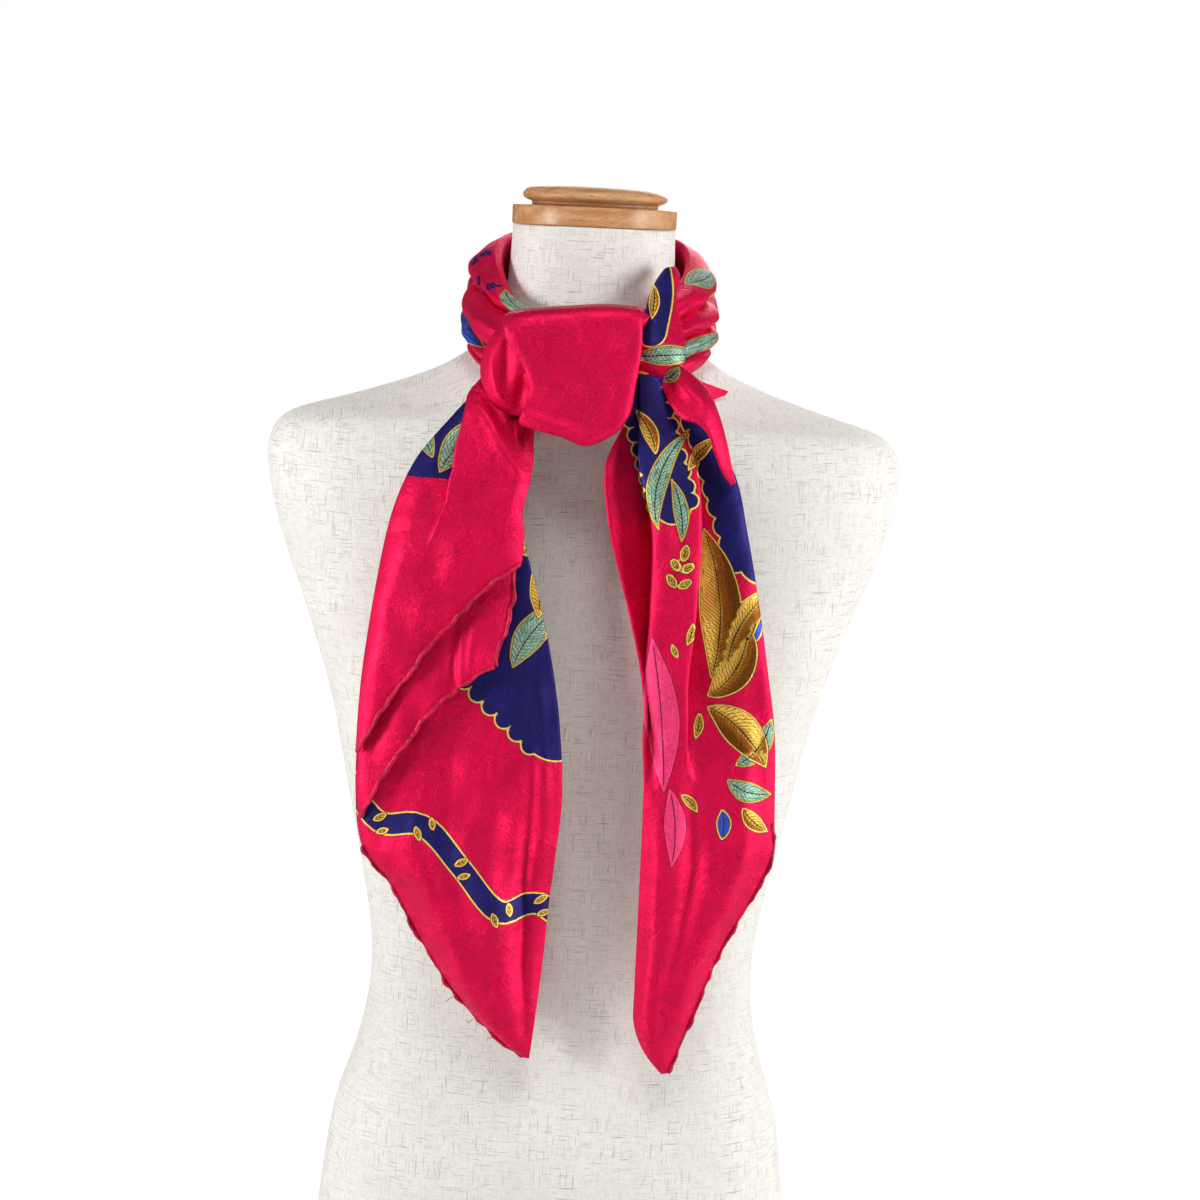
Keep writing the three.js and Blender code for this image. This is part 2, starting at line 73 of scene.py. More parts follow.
# Sections of the form: height, half width, depth to the front and to the back, squareness
TORSO = table("z half front back square", [
    (0, 146, 90, 98, 2.3),
    (30, 150, 93, 103, 2.3),
    (82, 147, 92, 105, 2.3),
    (131, 140, 87, 99, 2.3),
    (170, 128, 81, 89, 2.3),
    (206, 121, 77, 81, 2.3),
    (244, 121.5, 77, 81, 2.3),
    (294, 130.5, 80, 88, 2.4),
    (344, 141, 83, 97, 2.5),
    (394, 152, 85, 104, 2.6),
    (444, 168, 87, 108, 2.6),
    (494, 186, 88, 108, 2.5),
    (526, 194, 88, 104, 2.4),
    (550, 195, 86, 97, 2.2),
    (566, 183, 83, 88, 2.0),
    (578, 146, 77, 81, 1.8),
    (590, 110, 71, 74, 1.8),
    (602, 84, 66, 67, 1.9),
    (618, 64, 61, 58, 2.0),
    (640, 54, 57.5, 50, 2.0),
    (664, 51, 56, 46.5, 2.0),
    (687, 50, 56, 44.5, 2.0),
])
NECK_TOP = TORSO["z"][-1]
NECK_CENTRE_Y = (TORSO["back"][-1] - TORSO["front"][-1]) / 2

# Sections of the band, at turns in degrees that start at the front and go round by the left.
# The cuts are the turns where its three stretches start and end.
COLLAR_CENTRE_Y = -4
COLLAR_CUTS = (16, 117.75, 118.25, 241.75, 242.25, 344)
COLLAR = table("turn topR topZ bottomR bottomZ bulge thick", [
    (12, 71, 630, 83, 588, 1, 13),
    (50, 63, 645, 81, 600, 2, 14),
    (80, 60.5, 666, 73, 611, 3, 12.5),
    (110, 60, 679, 71, 617, 3, 13),
    (145, 61, 684, 71, 614, 3, 15),
    (180, 61, 685, 71, 611.5, 3, 15),
    (215, 61, 684, 71, 614, 3, 15),
    (250, 60, 679, 71, 616, 3, 13),
    (280, 60, 665, 73, 611, 3, 12),
    (310, 64, 651, 80, 602, 2, 13),
    (348, 73, 634, 83, 592, 1, 13),
])

# The band is folded into four rolls, one above the other. Each row gives the places of the
# creases between them, from 0 at the band's bottom edge to 1 at its top edge.
CREASES = table("turn low middle high", [
    (12, 0.05, 0.24, 0.86),
    (36, 0.07, 0.26, 0.83),
    (60, 0.11, 0.34, 0.75),
    (90, 0.14, 0.4, 0.66),
    (130, 0.18, 0.43, 0.68),
    (180, 0.2, 0.46, 0.72),
    (230, 0.16, 0.42, 0.68),
    (270, 0.1, 0.34, 0.62),
    (300, 0.16, 0.4, 0.66),
    (328, 0.26, 0.5, 0.74),
    (348, 0.3, 0.54, 0.78),
])
BAND_WIDE = 74.0  # mm, across the folded band
BAND_RADIUS = 74.0  # mm, from the middle of the neck to the band's face
HIDDEN = 26.0  # mm of cloth folded away between two rolls
ROLL_LEAST = 2.4  # mm that even a very narrow roll stands out
ROLL_SHARE = 0.3  # of a roll's width, by which it stands out further

# The wrap runs from its right edge to the crease where it goes in beside the knot. The share
# "pull" draws a row towards that crease, and "back" turns it back behind it.
WRAP = table("x topZ bottomZ topY middleY bottomY round pull back", [
    (22, 631, 598, -87, -99, -96, 2.6, 0, 0),
    (29.5, 639, 589, -91, -110, -106, 3.6, 0, 0),
    (31.5, 641.5, 585, -94, -117, -112, 4.6, 0, 0),
    (27, 642.5, 577, -95, -120, -113, 5.5, 0, 0),
    (15, 643, 566, -95, -122, -114, 6.0, 0, 0),
    (1, 642.5, 560.5, -95, -123.5, -115, 6.0, 0, 0),
    (-13, 641, 565, -94, -124.5, -116, 6.0, 0, 0),
    (-22, 639, 568.5, -94, -124.5, -117, 6.0, 0.35, 0),
    (-30, 636.5, 571, -94, -124, -117, 5.5, 0.8, 0),
    (-36, 634, 573, -95, -123, -117, 5.0, 1.0, -0.5),
    (-36, 632.5, 574.5, -95, -119, -113, 5.0, 1.0, 0),
    (-33, 631.5, 576, -94, -110, -106, 4.5, 1.0, 3.5),
])
CREASE_X = np.array([-49, -47.5, -42, -35, -31.5, -34, -37.5])  # down that crease

# The round fold that comes out beside the knot and goes back in under its wrap
SIDE_FOLD = table("leftX leftZ leftY rightX rightZ rightY belly bow", [
    (-42.5, 635, -98, -41, 632, -105, 1, 0),
    (-49.5, 629, -96, -37, 623, -106, 4, 0),
    (-56.5, 620.5, -95, -29, 613, -105, 7, 0),
    (-61, 611, -95, -24, 604, -103, 8, 0),
    (-62, 600, -96, -24, 596, -102, 8, 0),
    (-59, 589, -99, -26, 587, -102, 6, 0),
    (-53.5, 581, -101, -29, 580, -102, 3, 0),
    (-47.5, 576, -101, -33, 575, -101, 1, 0),
])
SIDE_CREASES = folds([
    (0.02, 0.5, 0.5, 0.85, 1.6, 3, 4),
    (0.12, 0.34, 0.8, 0.44, -2.6, 4, 4),
    (0.3, 0.08, 0.95, 0.3, 1.4, 4, 3),
    (0.5, 0.7, 1.0, 0.55, -3.4, 4, 5),
])

# Sections of the knot's core: height, middle, and half its width and depth
CORE = table("z x y halfX halfY", [
    (572, -6, -92, 18, 8),
    (580, -8, -93, 30, 13),
    (600, -11, -93, 37, 17),
    (620, -10, -91, 35, 17),
    (633, -8, -85, 24, 11),
])

# A hanging layer: each row is a line across it, from its left edge to its right one
PANEL = "leftX leftZ leftY rightX rightZ rightY belly bow"

LEFT_FRONT = table(PANEL, [
    (-55, 612, -80, -42, 606, -88, 1, 0),
    (-61, 598, -90, -36, 592, -94, 2, 0),
    (-67, 586, -97, -31, 578, -99, 2, 0),
    (-77, 574, -105, -29.5, 560, -109, 4, 0),
    (-98, 547, -108, -30, 541, -116, 5, 0),
    (-111, 514, -110, -34, 521, -120, 5, 2),
    (-119, 469, -112, -32.5, 507, -121, 5, 5),
    (-125, 417, -113, -33, 498, -121, 4, 9),
    (-127, 372, -113, -33, 491, -121, 3, 13),
])
LEFT_FRONT_FOLDS = folds([
    (0.2, 0.62, 0.42, 0.84, -6.0, 4, 4),
    (0.22, 0.08, 0.53, 1.04, 4.2, 8, 3),
    (0.24, 0.3, 0.5, 1.1, -2.4, 5, 6),
    (0.28, 0.86, 0.7, 0.9, 1.6, 4, 5),
    (0.46, 0.62, 0.8, 0.66, -1.8, 9, 12),
    (0.55, 0.75, 0.98, 0.3, 2.5, 14, 14),
    (0.66, 0.1, 1.0, 0.12, 2.0, 8, 12),
    (0.74, 0.42, 1.0, 0.5, -1.8, 8, 8),
])
# Down the front layer, the places across it of the ridge beside its set-back left part
RIDGE = np.array([(0.16, -0.08), (0.25, 0.0), (0.375, 0.17), (0.5, 0.37), (0.6, 0.41), (0.7, 0.34)])

LEFT_MIDDLE = table(PANEL, [
    (-58, 592, -87, -39, 588, -91, 1, 0),
    (-78, 560, -101, -37, 552, -105, 1, 0),
    (-106, 510, -104, -38, 512, -111, 2, 0),
    (-118, 459, -106, -37, 476, -114, 3, 4),
    (-125, 402, -107, -40, 453, -115, 3, 9),
    (-126.5, 353, -108, -44, 437, -115, 3, 14),
    (-124, 331, -108, -46, 427, -115, 3, 17),
])
LEFT_MIDDLE_FOLDS = folds([
    (0.58, 0.62, 1.06, 0.74, -3.0, 7, 3),
    (0.6, 0.76, 1.06, 0.84, 1.6, 4, 7),
    (0.62, 0.3, 1.05, 0.35, 1.6, 10, 10),
    (0.7, 0.1, 1.05, 0.16, -1.2, 7, 7),
])

LEFT_BACK = table(PANEL, [
    (-57, 590, -82, -40, 586, -86, 0, 0),
    (-74, 562, -96, -38, 556, -100, 0, 0),
    (-103, 512, -98, -33, 506, -106, 0, 0),
    (-117, 460, -100, -19, 458, -108.5, 1, 0),
    (-125, 402, -101.5, -8, 405, -108, 2, 0),
    (-126.5, 352, -102.5, -3, 352, -106, 3, 0),
    (-121.5, 314, -103, -5.5, 312, -104, 4, -2),
    (-104, 290, -100, -8, 284, -103, 4, -3),
    (-85, 257, -99, -10, 252, -102, 4, -3),
    (-61, 223, -99, -12.5, 223, -101, 3, -3),
    (-38, 201, -99.5, -14.5, 201, -100.5, 2, -2),
    (-20, 187, -100, -16, 187, -100, 0.5, 0),
])
LEFT_BACK_FOLDS = folds([
    (0.27, 0.05, 0.6, 0.02, 3, 4, 13),
    (0.42, 0.34, 1.06, 0.3, 9, 17, 44),
    (0.36, 0.45, 0.77, 0.4, -3.8, 11, 11),
    (0.41, 0.68, 0.86, 0.62, 3.6, 11, 9),
    (0.4, 0.86, 0.99, 0.8, -3.4, 5, 4),
    (0.52, 0.2, 0.9, 0.3, 1.6, 9, 12),
    (0.3, 0.9, 0.62, 0.94, 1.4, 6, 4),
])

# The right tail: each row is a line across it, through both edges and its two lapped pleats
PLEAT_KNOTS = ("left", "valley", "fold", "ridge", "tuck", "right")
PLEATS = "leftZ rightZ leftX leftY valleyX valleyY foldX foldY ridgeX ridgeY tuckX tuckY rightX rightY"
RIGHT_PLEATS = table(PLEATS, [
    (604, 600, 23, -89, 28, -87.5, 32, -91, 42, -93, 46, -89, 54, -86),
    (576, 578, 24, -98, 42, -94, 33, -102, 55, -104, 48, -96, 65.5, -94.5),
    (548, 548, 14, -107, 47, -98, 34, -111, 67, -113, 53, -101, 88.5, -101),
    (512, 512, 18, -112, 54, -103, 43, -117, 71, -120, 58, -106, 98.5, -105),
    (462, 462, 32.5, -114, 54, -106, 44, -119, 70, -121, 59, -109, 109, -106),
    (428, 428, 41.5, -114, 50, -108, 43.5, -117, 67.5, -120, 60, -110, 115, -107),
    (402, 402, 45, -113, 46.5, -111, 49, -115, 68, -118, 65, -111, 119.5, -107),
    (376, 376, 44.5, -112, 49, -112, 56, -114, 69, -115, 76, -112, 122, -106),
    (340, 340, 45, -108, 52, -110.5, 62, -112, 76, -111, 94, -110, 123.5, -104),
    (300, 318, 45, -104, 53, -108, 66, -110, 80, -108, 98, -107, 124.5, -101),
    (262, 292, 45, -101, 53, -106, 65, -108, 78, -106, 92, -105, 114, -101),
    (232, 262, 45, -99, 52, -104, 62, -106, 72, -105, 82, -104, 98, -101),
    (212, 231, 45.5, -99, 51, -103, 58, -105, 66, -104, 74, -103, 86, -101),
    (196, 203, 51.5, -100, 55, -102, 59, -103, 64, -103, 70, -102, 76, -101),
    (181, 181, 63, -101, 64, -101.3, 65, -101.5, 66, -101.5, 67, -101.3, 68, -101),
])
RIGHT_FOLDS = folds([
    (0.5, 0.38, 0.95, 0.42, -3.6, 6, 8),
    (0.42, 0.8, 0.9, 0.72, 3.2, 8, 7),
    (0.55, 0.12, 0.98, 0.2, 2.8, 5, 8),
    (0.3, 0.9, 0.6, 0.86, -1.5, 8, 6),
    (0.12, 0.5, 0.5, 0.56, 1.1, 5, 5),
    (0.6, 0.54, 1.02, 0.5, 5, 16, 16),
])

RIGHT_FLAP = table(PANEL, [
    (45, 597, -100, 47, 606, -94, 0, 0),
    (50, 587, -111, 54, 609, -97, 3, 0),
    (57, 579.5, -118, 64, 603, -102, 5, 0),
    (66, 577, -121, 73, 594, -106, 5, 0),
    (72.5, 571, -121, 79.5, 580, -110, 3, 0),
    (77.5, 560, -119, 84, 566, -112, 1.5, 0),
    (83, 548.5, -112, 87.5, 552, -109, 0.5, 0),
    (88, 540.5, -104, 90.5, 541.5, -104, 0, 0),
])
RIGHT_FLAP_FOLDS = folds([
    (-0.1, 0.35, 0.45, 0.28, -3.4, 4, 5),
    (0.02, 0.66, 0.6, 0.62, 1.6, 4, 4),
])

INNER_FOLD = table(PANEL, [
    (44, 664.5, -50, 51, 665, -44, 0.5, 1),
    (39.5, 658, -56, 53.5, 659, -46, 4, 1.5),
    (36, 650, -63, 51.5, 650, -54, 6, 0),
    (33.5, 640, -70, 53, 640, -61, 7, 0),
    (32.5, 630, -77, 56, 629, -68, 7, 0),
    (32, 620, -83, 58, 618, -76, 6, 0),
    (32, 609, -85, 57, 607, -80, 4, 0),
    (33, 599, -84, 55, 597, -80, 2, 0),
])

CORNER = table(PANEL, [
    (54, 600, -62, 60, 607, -58, 0, 0),
    (59.5, 589, -62, 66, 600, -60, 0, 0),
    (70, 585.5, -58, 76, 596, -56, 0, 0),
    (84, 590, -48, 86, 592.5, -47.5, 0, 0),
])


# Settings that a user would change


def srgb(red, green, blue):
    """A colour given in screen values from 0 to 255, as the linear values that shaders use."""
    def linear(value):
        value /= 255
        return value / 12.92 if value <= 0.04045 else ((value + 0.055) / 1.055) ** 2.4
    return (linear(red), linear(green), linear(blue))


def length(name, description, default):
    return FloatProperty(name=name, description=description, default=default,
                         unit="LENGTH", subtype="DISTANCE", precision=5)


def colour(name, description, *values):
    return FloatVectorProperty(name=name, description=description, default=srgb(*values),
                               size=3, min=0, max=1, subtype="COLOR")


class ClothSizes(bpy.types.PropertyGroup):
    thickness: length("Cloth", "Thickness of the silk shell", 0.0004)
    fold_radius: length("Fold edge", "Radius of an edge where the silk turns back", 0.0011)
    hem_radius: length("Hem", "Radius of the rolled hem", 0.0013)
    stitch_gap: length("Stitch gap", "Distance between the stitches of the rolled hem", 0.0046)


class SilkColours(bpy.types.PropertyGroup):
    crimson: colour("Ground", "Ground colour of the square", 222, 8, 74)
    navy: colour("Navy", "Dark fields", 27, 27, 92)
    mint: colour("Mint", "Pale green leaves", 160, 196, 172)
    moss: colour("Moss", "Brush strokes in the pale green", 60, 104, 78)
    gold: colour("Gold", "Yellow leaves and borders", 216, 178, 72)
    amber: colour("Amber", "Shaded part of the yellow leaves", 158, 92, 22)
    cobalt: colour("Cobalt", "Bright blue leaves", 58, 96, 208)
    rose: colour("Rose", "Paler pink leaves", 250, 66, 124)
    ink: colour("Ink", "Fine dark outlines", 42, 22, 34)


class FormColours(bpy.types.PropertyGroup):
    linen: colour("Linen", "Ground of the form's cover", 243, 243, 239)
    slub: colour("Slub", "Thick flax threads in the cover", 186, 176, 160)
    wood: colour("Beech", "Turned neck cap", 203, 155, 109)
    grain: colour("Grain", "Darker grain of the neck cap", 182, 126, 80)


class StageSettings(bpy.types.PropertyGroup):
    distance: length("Camera distance", "From the lens to the point that it looks at", 2.0)
    span: length("View width", "Width of the picture at that point", 0.75)
    elevation: FloatProperty(name="Elevation", description="How far the camera looks down",
                             default=math.radians(7), subtype="ANGLE")
    roll: FloatProperty(name="Roll", description="How far the camera is tilted sideways",
                        default=math.radians(2.6), subtype="ANGLE")
    key: FloatProperty(name="Key light", description="Power that each soft light is a share of",
                       default=34, unit="POWER")


# Numbers that the shapes share


def through(values, place):
    """Smooth values through a list, at places from 0, its first number, to 1, its last."""
    last = len(values) - 1
    at = np.clip(place, 0, 1) * last
    i = np.minimum(at.astype(int), last - 1)
    t = at - i

    def pick(k):
        k = np.clip(k, 0, last)
        return values[k] if values.ndim == 1 else np.take_along_axis(values, k[None], 0)[0]

    before, start, end, after = pick(i - 1), pick(i), pick(i + 1), pick(i + 2)
    rise, leave = (end - before) / 2, (after - start) / 2
    cube = (2 * start - 2 * end + rise + leave) * t**3
    return cube + (3 * end - 3 * start - 2 * rise - leave) * t**2 + rise * t + start


def sampled(rows, place):
    """Each column of a table at places from 0, its first row, to 1, its last."""
    return {name: through(values, place) for name, values in rows.items()}


def lerp(a, b, share):
    return a + (b - a) * share


def smooth(low, high, value):
    """Goes smoothly from 0 at low to 1 at high. High may be the smaller of the two."""
    t = np.clip((value - low) / (high - low), 0, 1)
    return t * t * (3 - 2 * t)


def points(x, y, z):
    return np.stack([x, y, z], 1)


def unit(vectors):
    return vectors / (np.linalg.norm(vectors, axis=1)[:, None] + 1e-9)


def run(line):
    """How far along a line each of its points lies."""
    return np.concatenate([[0], np.cumsum(np.linalg.norm(np.diff(line, axis=0), axis=1))])


def on_line(line, far):
    """The points that lie that far along a line."""
    return np.stack([np.interp(far, run(line), axis) for axis in line.T], -1)


# Waves of a soft, uneven drape: length in mm, direction in degrees, phase and height in mm
DRAPE = [
    (61, 12, 0.4, 0.5),
    (43, 74, 2.1, 0.35),
    (37, -38, 4.2, 0.35),
    (27, 31, 1.3, 0.22),
    (19, 102, 5.0, 0.14),
    (15, -15, 3.3, 0.11),
]


def drape(x, z):
    """A low, uneven swell of the cloth, the same at each run."""
    high = 0
    for wave, turn, phase, tall in DRAPE:
        way = math.radians(turn)
        along = (x * math.cos(way) + z * math.sin(way)) * 2 * math.pi / wave
        high = high + tall * np.sin(along + phase + 0.8 * np.sin(along * 0.37 + phase))
    return high


def fold_height(fold, u, v, width):
    """How far a fold stands out of a cloth of that width. It fades out at both its ends."""
    along = (v - fold.top_v) / (fold.end_v - fold.top_v)
    inside = (along > 0) & (along < 1)
    along = np.clip(along, 0, 1)
    off = (u - lerp(fold.top_u, fold.end_u, along)) * width
    reach = np.where(off < 0, fold.left_wide, fold.right_wide)
    fade = np.sin(math.pi * along**0.7)
    return np.where(inside, fold.high * fade * np.exp(-((off / reach) ** 2)), 0)


EDGE_WIDE = 7  # mm, the strip along a side edge that rolls back


def panel(rows, creases, swell=1.0, left_roll=0.0, right_roll=0.0):
    """The surface of a hanging layer: u from left to right, v from top to bottom. Its side
    edges roll back by the millimetres given."""
    def surface(u, v):
        at = sampled(rows, v)
        arch = 4 * u * (1 - u)
        flat_arch = 1 - np.abs(2 * u - 1) ** 3
        width = np.hypot(at["rightX"] - at["leftX"], at["rightZ"] - at["leftZ"])
        x = lerp(at["leftX"], at["rightX"], u)
        z = lerp(at["leftZ"], at["rightZ"], u) + at["bow"] * arch
        y = lerp(at["leftY"], at["rightY"], u) - at["belly"] * flat_arch
        for fold in creases:
            y = y - fold_height(fold, u, v, width)
        y = y + left_roll * np.exp(-u * width / EDGE_WIDE)
        y = y + right_roll * np.exp(-(1 - u) * width / EDGE_WIDE)
        return points(x, y - swell * drape(x, z), z)
    return surface


def left_front(u, v):
    """The left tail's front layer. Left of its ridge the silk is set back in a hollow, and
    right of it the crest stands out and leans over the hollow."""
    laid = panel(LEFT_FRONT, LEFT_FRONT_FOLDS, 1.0, 4, 3)(u, v)
    left, right = (through(LEFT_FRONT[name], v) for name in ("leftX", "rightX"))
    off = (u - np.interp(v, *RIDGE.T)) * (right - left)
    fade = smooth(0.12, 0.26, v) * smooth(0.72, 0.5, v)
    behind = smooth(1.4, -1.4, off)
    hollow_deep, hollow_wide = 11, 17
    crest_high, crest_wide = 3.5, 15
    lean, lean_wide = 4.5, 7
    hollow = hollow_deep * behind * np.exp(np.minimum(off, 0) / hollow_wide)
    crest = crest_high * (1 - behind) * np.exp(-np.maximum(off, 0) / crest_wide)
    laid[:, 1] += fade * (hollow - crest)
    laid[:, 0] -= lean * fade * (1 - behind) * np.exp(-np.maximum(off, 0) / lean_wide)
    return laid


def pleats(u, v):
    """The right tail. Its valley and its tuck go in deeper than the solid's."""
    at = sampled(RIGHT_PLEATS, v)
    deep = np.sin(math.pi * np.clip((v - 0.02) / 0.52, 0, 1))
    for knot, deeper in (("valleyY", 16), ("tuckY", 8)):
        at[knot] = at[knot] + deeper * deep
    x, y = (through(np.stack([at[knot + axis] for knot in PLEAT_KNOTS]), u) for axis in "XY")
    width = at["rightX"] - at["leftX"]
    share = (x - at["leftX"]) / width
    z = lerp(at["leftZ"], at["rightZ"], share)
    for fold in RIGHT_FOLDS:
        y = y - fold_height(fold, share, v, width)
    right_roll, left_roll, left_wide = 6, 2, 6
    y = y + right_roll * np.exp(-(1 - share) * width / EDGE_WIDE)
    y = y + left_roll * np.exp(-share * width / left_wide)
    return points(x, y - 0.8 * drape(x + 70, z), z)


WRAP_CREASES = folds([
    (0.12, 0.72, 0.5, 0.66, 1.4, 4, 6),
    (0.9, 0.8, 0.96, 0.3, 1.6, 3.5, 3.5),
    (0.78, 0.8, 0.84, 0.4, -1.4, 4, 4),
    (0.62, 0.78, 0.6, 0.45, 1.2, 5, 5),
    (0.3, 0.7, 0.5, 0.42, -0.9, 6, 7),
    (0.08, 0.3, 0.7, 0.38, -0.8, 9, 12),
])
WRAP_SIZE = np.array([85, 75])  # mm, across and down


def wrap(u, v):
    """The knot's wrap. Each row of its table is a line down it with a rounded section."""
    at = sampled(WRAP, u)
    across = np.abs(2 * v - 1)
    crown = (1 - across ** at["round"]) ** (1 / at["round"])
    edge = np.where(v < 0.5, at["topY"], at["bottomY"])
    x = lerp(at["x"], through(CREASE_X, v), at["pull"]) + at["back"]
    x = x - 3.5 * smooth(0.4, 1, v) * smooth(0.36, 0.2, u)
    z = lerp(at["topZ"], at["bottomZ"], v)
    y = lerp(edge, at["middleY"], crown)
    wide, tall = WRAP_SIZE
    for fold in WRAP_CREASES:
        way = WRAP_SIZE * (fold.end_u - fold.top_u, fold.end_v - fold.top_v)
        far = np.hypot(*way)
        off_u, off_v = (u - fold.top_u) * wide, (v - fold.top_v) * tall
        along = np.clip((off_u * way[0] + off_v * way[1]) / far**2, 0, 1)
        off = (off_u * way[1] - off_v * way[0]) / far
        beyond = np.hypot(off_u - along * way[0], off_v - along * way[1])
        reach = np.where(off < 0, fold.left_wide, fold.right_wide)
        fade = np.sin(math.pi * (0.12 + 0.76 * along))
        y = y - fold.high * fade * np.exp(-((beyond / reach) ** 2))
    return points(x, y - 0.5 * drape(x * 1.3, z * 1.3), z)


def rolls(turn, place):
    """How far the rolls stand out, and the number of the roll at each place."""
    waver = 0.018 * np.sin(turn * 0.13) + 0.012 * np.sin(turn * 0.31 + 1)
    creases = [np.interp(turn, CREASES["turn"], CREASES[name]) + waver
               for name in ("low", "middle", "high")]
    edges = [place * 0, *creases, place * 0 + 1]
    high, number = 0, 0
    for k, (below, above) in enumerate(zip(edges[:-1], edges[1:])):
        share = (place - below) / (above - below)
        inside = (share >= 0) & ((share < 1) | (k == len(creases)))
        share = np.clip(share, 0, 1) ** 0.75
        round_top = (1 - (2 * share - 1) ** 2) ** 0.6
        tall = ROLL_LEAST + (above - below) * BAND_WIDE * ROLL_SHARE
        high = high + np.where(inside, round_top * tall, 0)
        number = number + np.where(inside, k, 0)
    return high, number


def collar(around, turn):
    """The band's skin: the outer face goes up from 0 to a half, the inner one down."""
    at = sampled(COLLAR, np.interp(turn, COLLAR["turn"], np.linspace(0, 1, len(COLLAR["turn"]))))
    place = (1 - np.cos(2 * math.pi * around)) / 2
    side = np.sin(2 * math.pi * around)
    rise_r, rise_z = at["topR"] - at["bottomR"], at["topZ"] - at["bottomZ"]
    slope = np.hypot(rise_r, rise_z)
    out_r, out_z = rise_z / slope, -rise_r / slope
    off = at["thick"] / 2 * np.sign(side) * np.abs(side) ** 0.75
    # On the left the top roll lies against the neck, and on the right it leans that way
    against = smooth(24, 50, turn) * smooth(150, 120, turn) + 0.35 * smooth(240, 262, turn)
    off = off - 4.5 * against * np.maximum(-side, 0) ** 0.5 * smooth(0.3, 0.7, place)
    # Near the knot the silk is gathered, so small waves run round the band there
    gathered = 0.25 + 0.75 * (smooth(70, 24, turn) + smooth(290, 336, turn))
    wave = 5.3 * place + 0.011 * turn + 0.2 * np.sin(turn * 0.07)
    gathers = gathered * np.sin(2 * math.pi * wave)
    outer = np.minimum(1, 2 * np.maximum(side, 0))
    radians = np.radians(turn)
    stand, _ = rolls(turn, place)
    sunk = 5  # mm that the rolls are set back, so that they stay where the band's solid is
    off = off + (stand - sunk + gathers + drape(radians * BAND_RADIUS, place * BAND_WIDE)) * outer
    radius = lerp(at["bottomR"], at["topR"], place) + at["bulge"] * 4 * place * (1 - place)
    z = lerp(at["bottomZ"], at["topZ"], place) + out_z * off
    reach = radius + out_r * off
    return points(-np.sin(radians) * reach, COLLAR_CENTRE_Y - np.cos(radians) * reach, z)


def torso(around, up):
    """The form's skin. A section is an ellipse where its "square" is 2, and boxier above that."""
    at = sampled(TORSO, up)
    c, s = np.cos(2 * math.pi * around), np.sin(2 * math.pi * around)
    bent_c = np.sign(c) * np.abs(c) ** (2 / at["square"])
    bent_s = np.sign(s) * np.abs(s) ** (2 / at["square"])
    deep = np.where(s < 0, at["front"], at["back"])
    return points(at["half"] * bent_c, deep * bent_s, at["z"])


def core(around, up):
    """The layers of silk inside the knot, gathered together."""
    at = sampled(CORE, up)
    angle = 2 * math.pi * around
    gathers = 1 + 0.05 * np.sin(7 * angle + 9 * up) + 0.03 * np.sin(12 * angle - 7 * up)
    return points(at["x"] + at["halfX"] * np.cos(angle) * gathers,
                  at["y"] + at["halfY"] * np.sin(angle) * gathers, at["z"])


TURN_SHARE = 0.045  # of a grid's width, which turns back at a folded edge
TURN_ANGLE = 1.1 * math.pi


def turned_back(surface, radius, left=True, right=True):
    """The surface with its side edges turned back round a small radius, as folded silk is."""
    def folded(u, v):
        inner_span = 1 - TURN_SHARE * (left + right)
        inner = np.clip((u - TURN_SHARE * left) / inner_span, 0, 1)
        step = 0.004
        across = surface(np.minimum(inner + step, 1), v) - surface(np.maximum(inner - step, 0), v)
        down = surface(inner, np.minimum(v + step, 1)) - surface(inner, np.maximum(v - step, 0))
        across = unit(across)
        back = unit(np.cross(across, down))
        place = surface(inner, v)
        for used, over, side in (
            (left, (TURN_SHARE - u) / TURN_SHARE, -1),
            (right, (u - 1 + TURN_SHARE) / TURN_SHARE, 1),
        ):
            if used:
                angle = (np.clip(over, 0, 1) * TURN_ANGLE)[:, None]
                outward = side * across * (np.sin(angle) - 1)
                place = place + radius * (outward + back * (1 - np.cos(angle)))
        return place
    return folded


# Print of the square. A motif is a set of strokes, and a stroke is a smooth line whose half
# width changes along it: rows of x, z and half width in mm.


def nearest(x, z, rows, steps=6):
    """The points near a stroke, and for each its distance in mm, negative inside, its place
    along the stroke and its signed place across it."""
    rows = np.array(rows, float)
    places = np.linspace(0, 1, (len(rows) - 1) * steps + 1)
    line = np.stack([through(rows[:, k], places) for k in range(3)], 1)
    margin = 4 + line[:, 2].max()
    low, high = line[:, :2].min(0) - margin, line[:, :2].max(0) + margin
    near = np.flatnonzero((x > low[0]) & (x < high[0]) & (z > low[1]) & (z < high[1]))
    start, end = line[:-1], line[1:]
    way = end[:, :2] - start[:, :2]
    long = np.hypot(way[:, 0], way[:, 1]) + 1e-9
    px, pz = x[near][:, None] - start[:, 0], z[near][:, None] - start[:, 1]
    t = np.clip((px * way[:, 0] + pz * way[:, 1]) / long**2, 0, 1)
    off = np.hypot(px - t * way[:, 0], pz - t * way[:, 1])
    far = off - (start[:, 2] + t * (end[:, 2] - start[:, 2]))
    best = (np.arange(len(near)), far.argmin(1)) if len(near) else (near, near)
    before = np.concatenate([[0], np.cumsum(long)[:-1]])
    along = (before + t * long)[best]
    side = np.sign(px * way[:, 1] - pz * way[:, 0])[best]
    return near, far[best], along, side * off[best]


def leaf(x, z, long, wide, turn, bend=0.0):
    """A leaf from its stalk at x, z, with its length, half width, direction and bend."""
    rows = []
    for s, share in ((0, 0.05), (0.2, 0.6), (0.45, 1), (0.7, 0.78), (0.9, 0.3), (1, 0.02)):
        way = math.radians(turn + bend * s)
        rows.append((x + long * s * math.cos(way), z + long * s * math.sin(way), wide * share))
    return rows


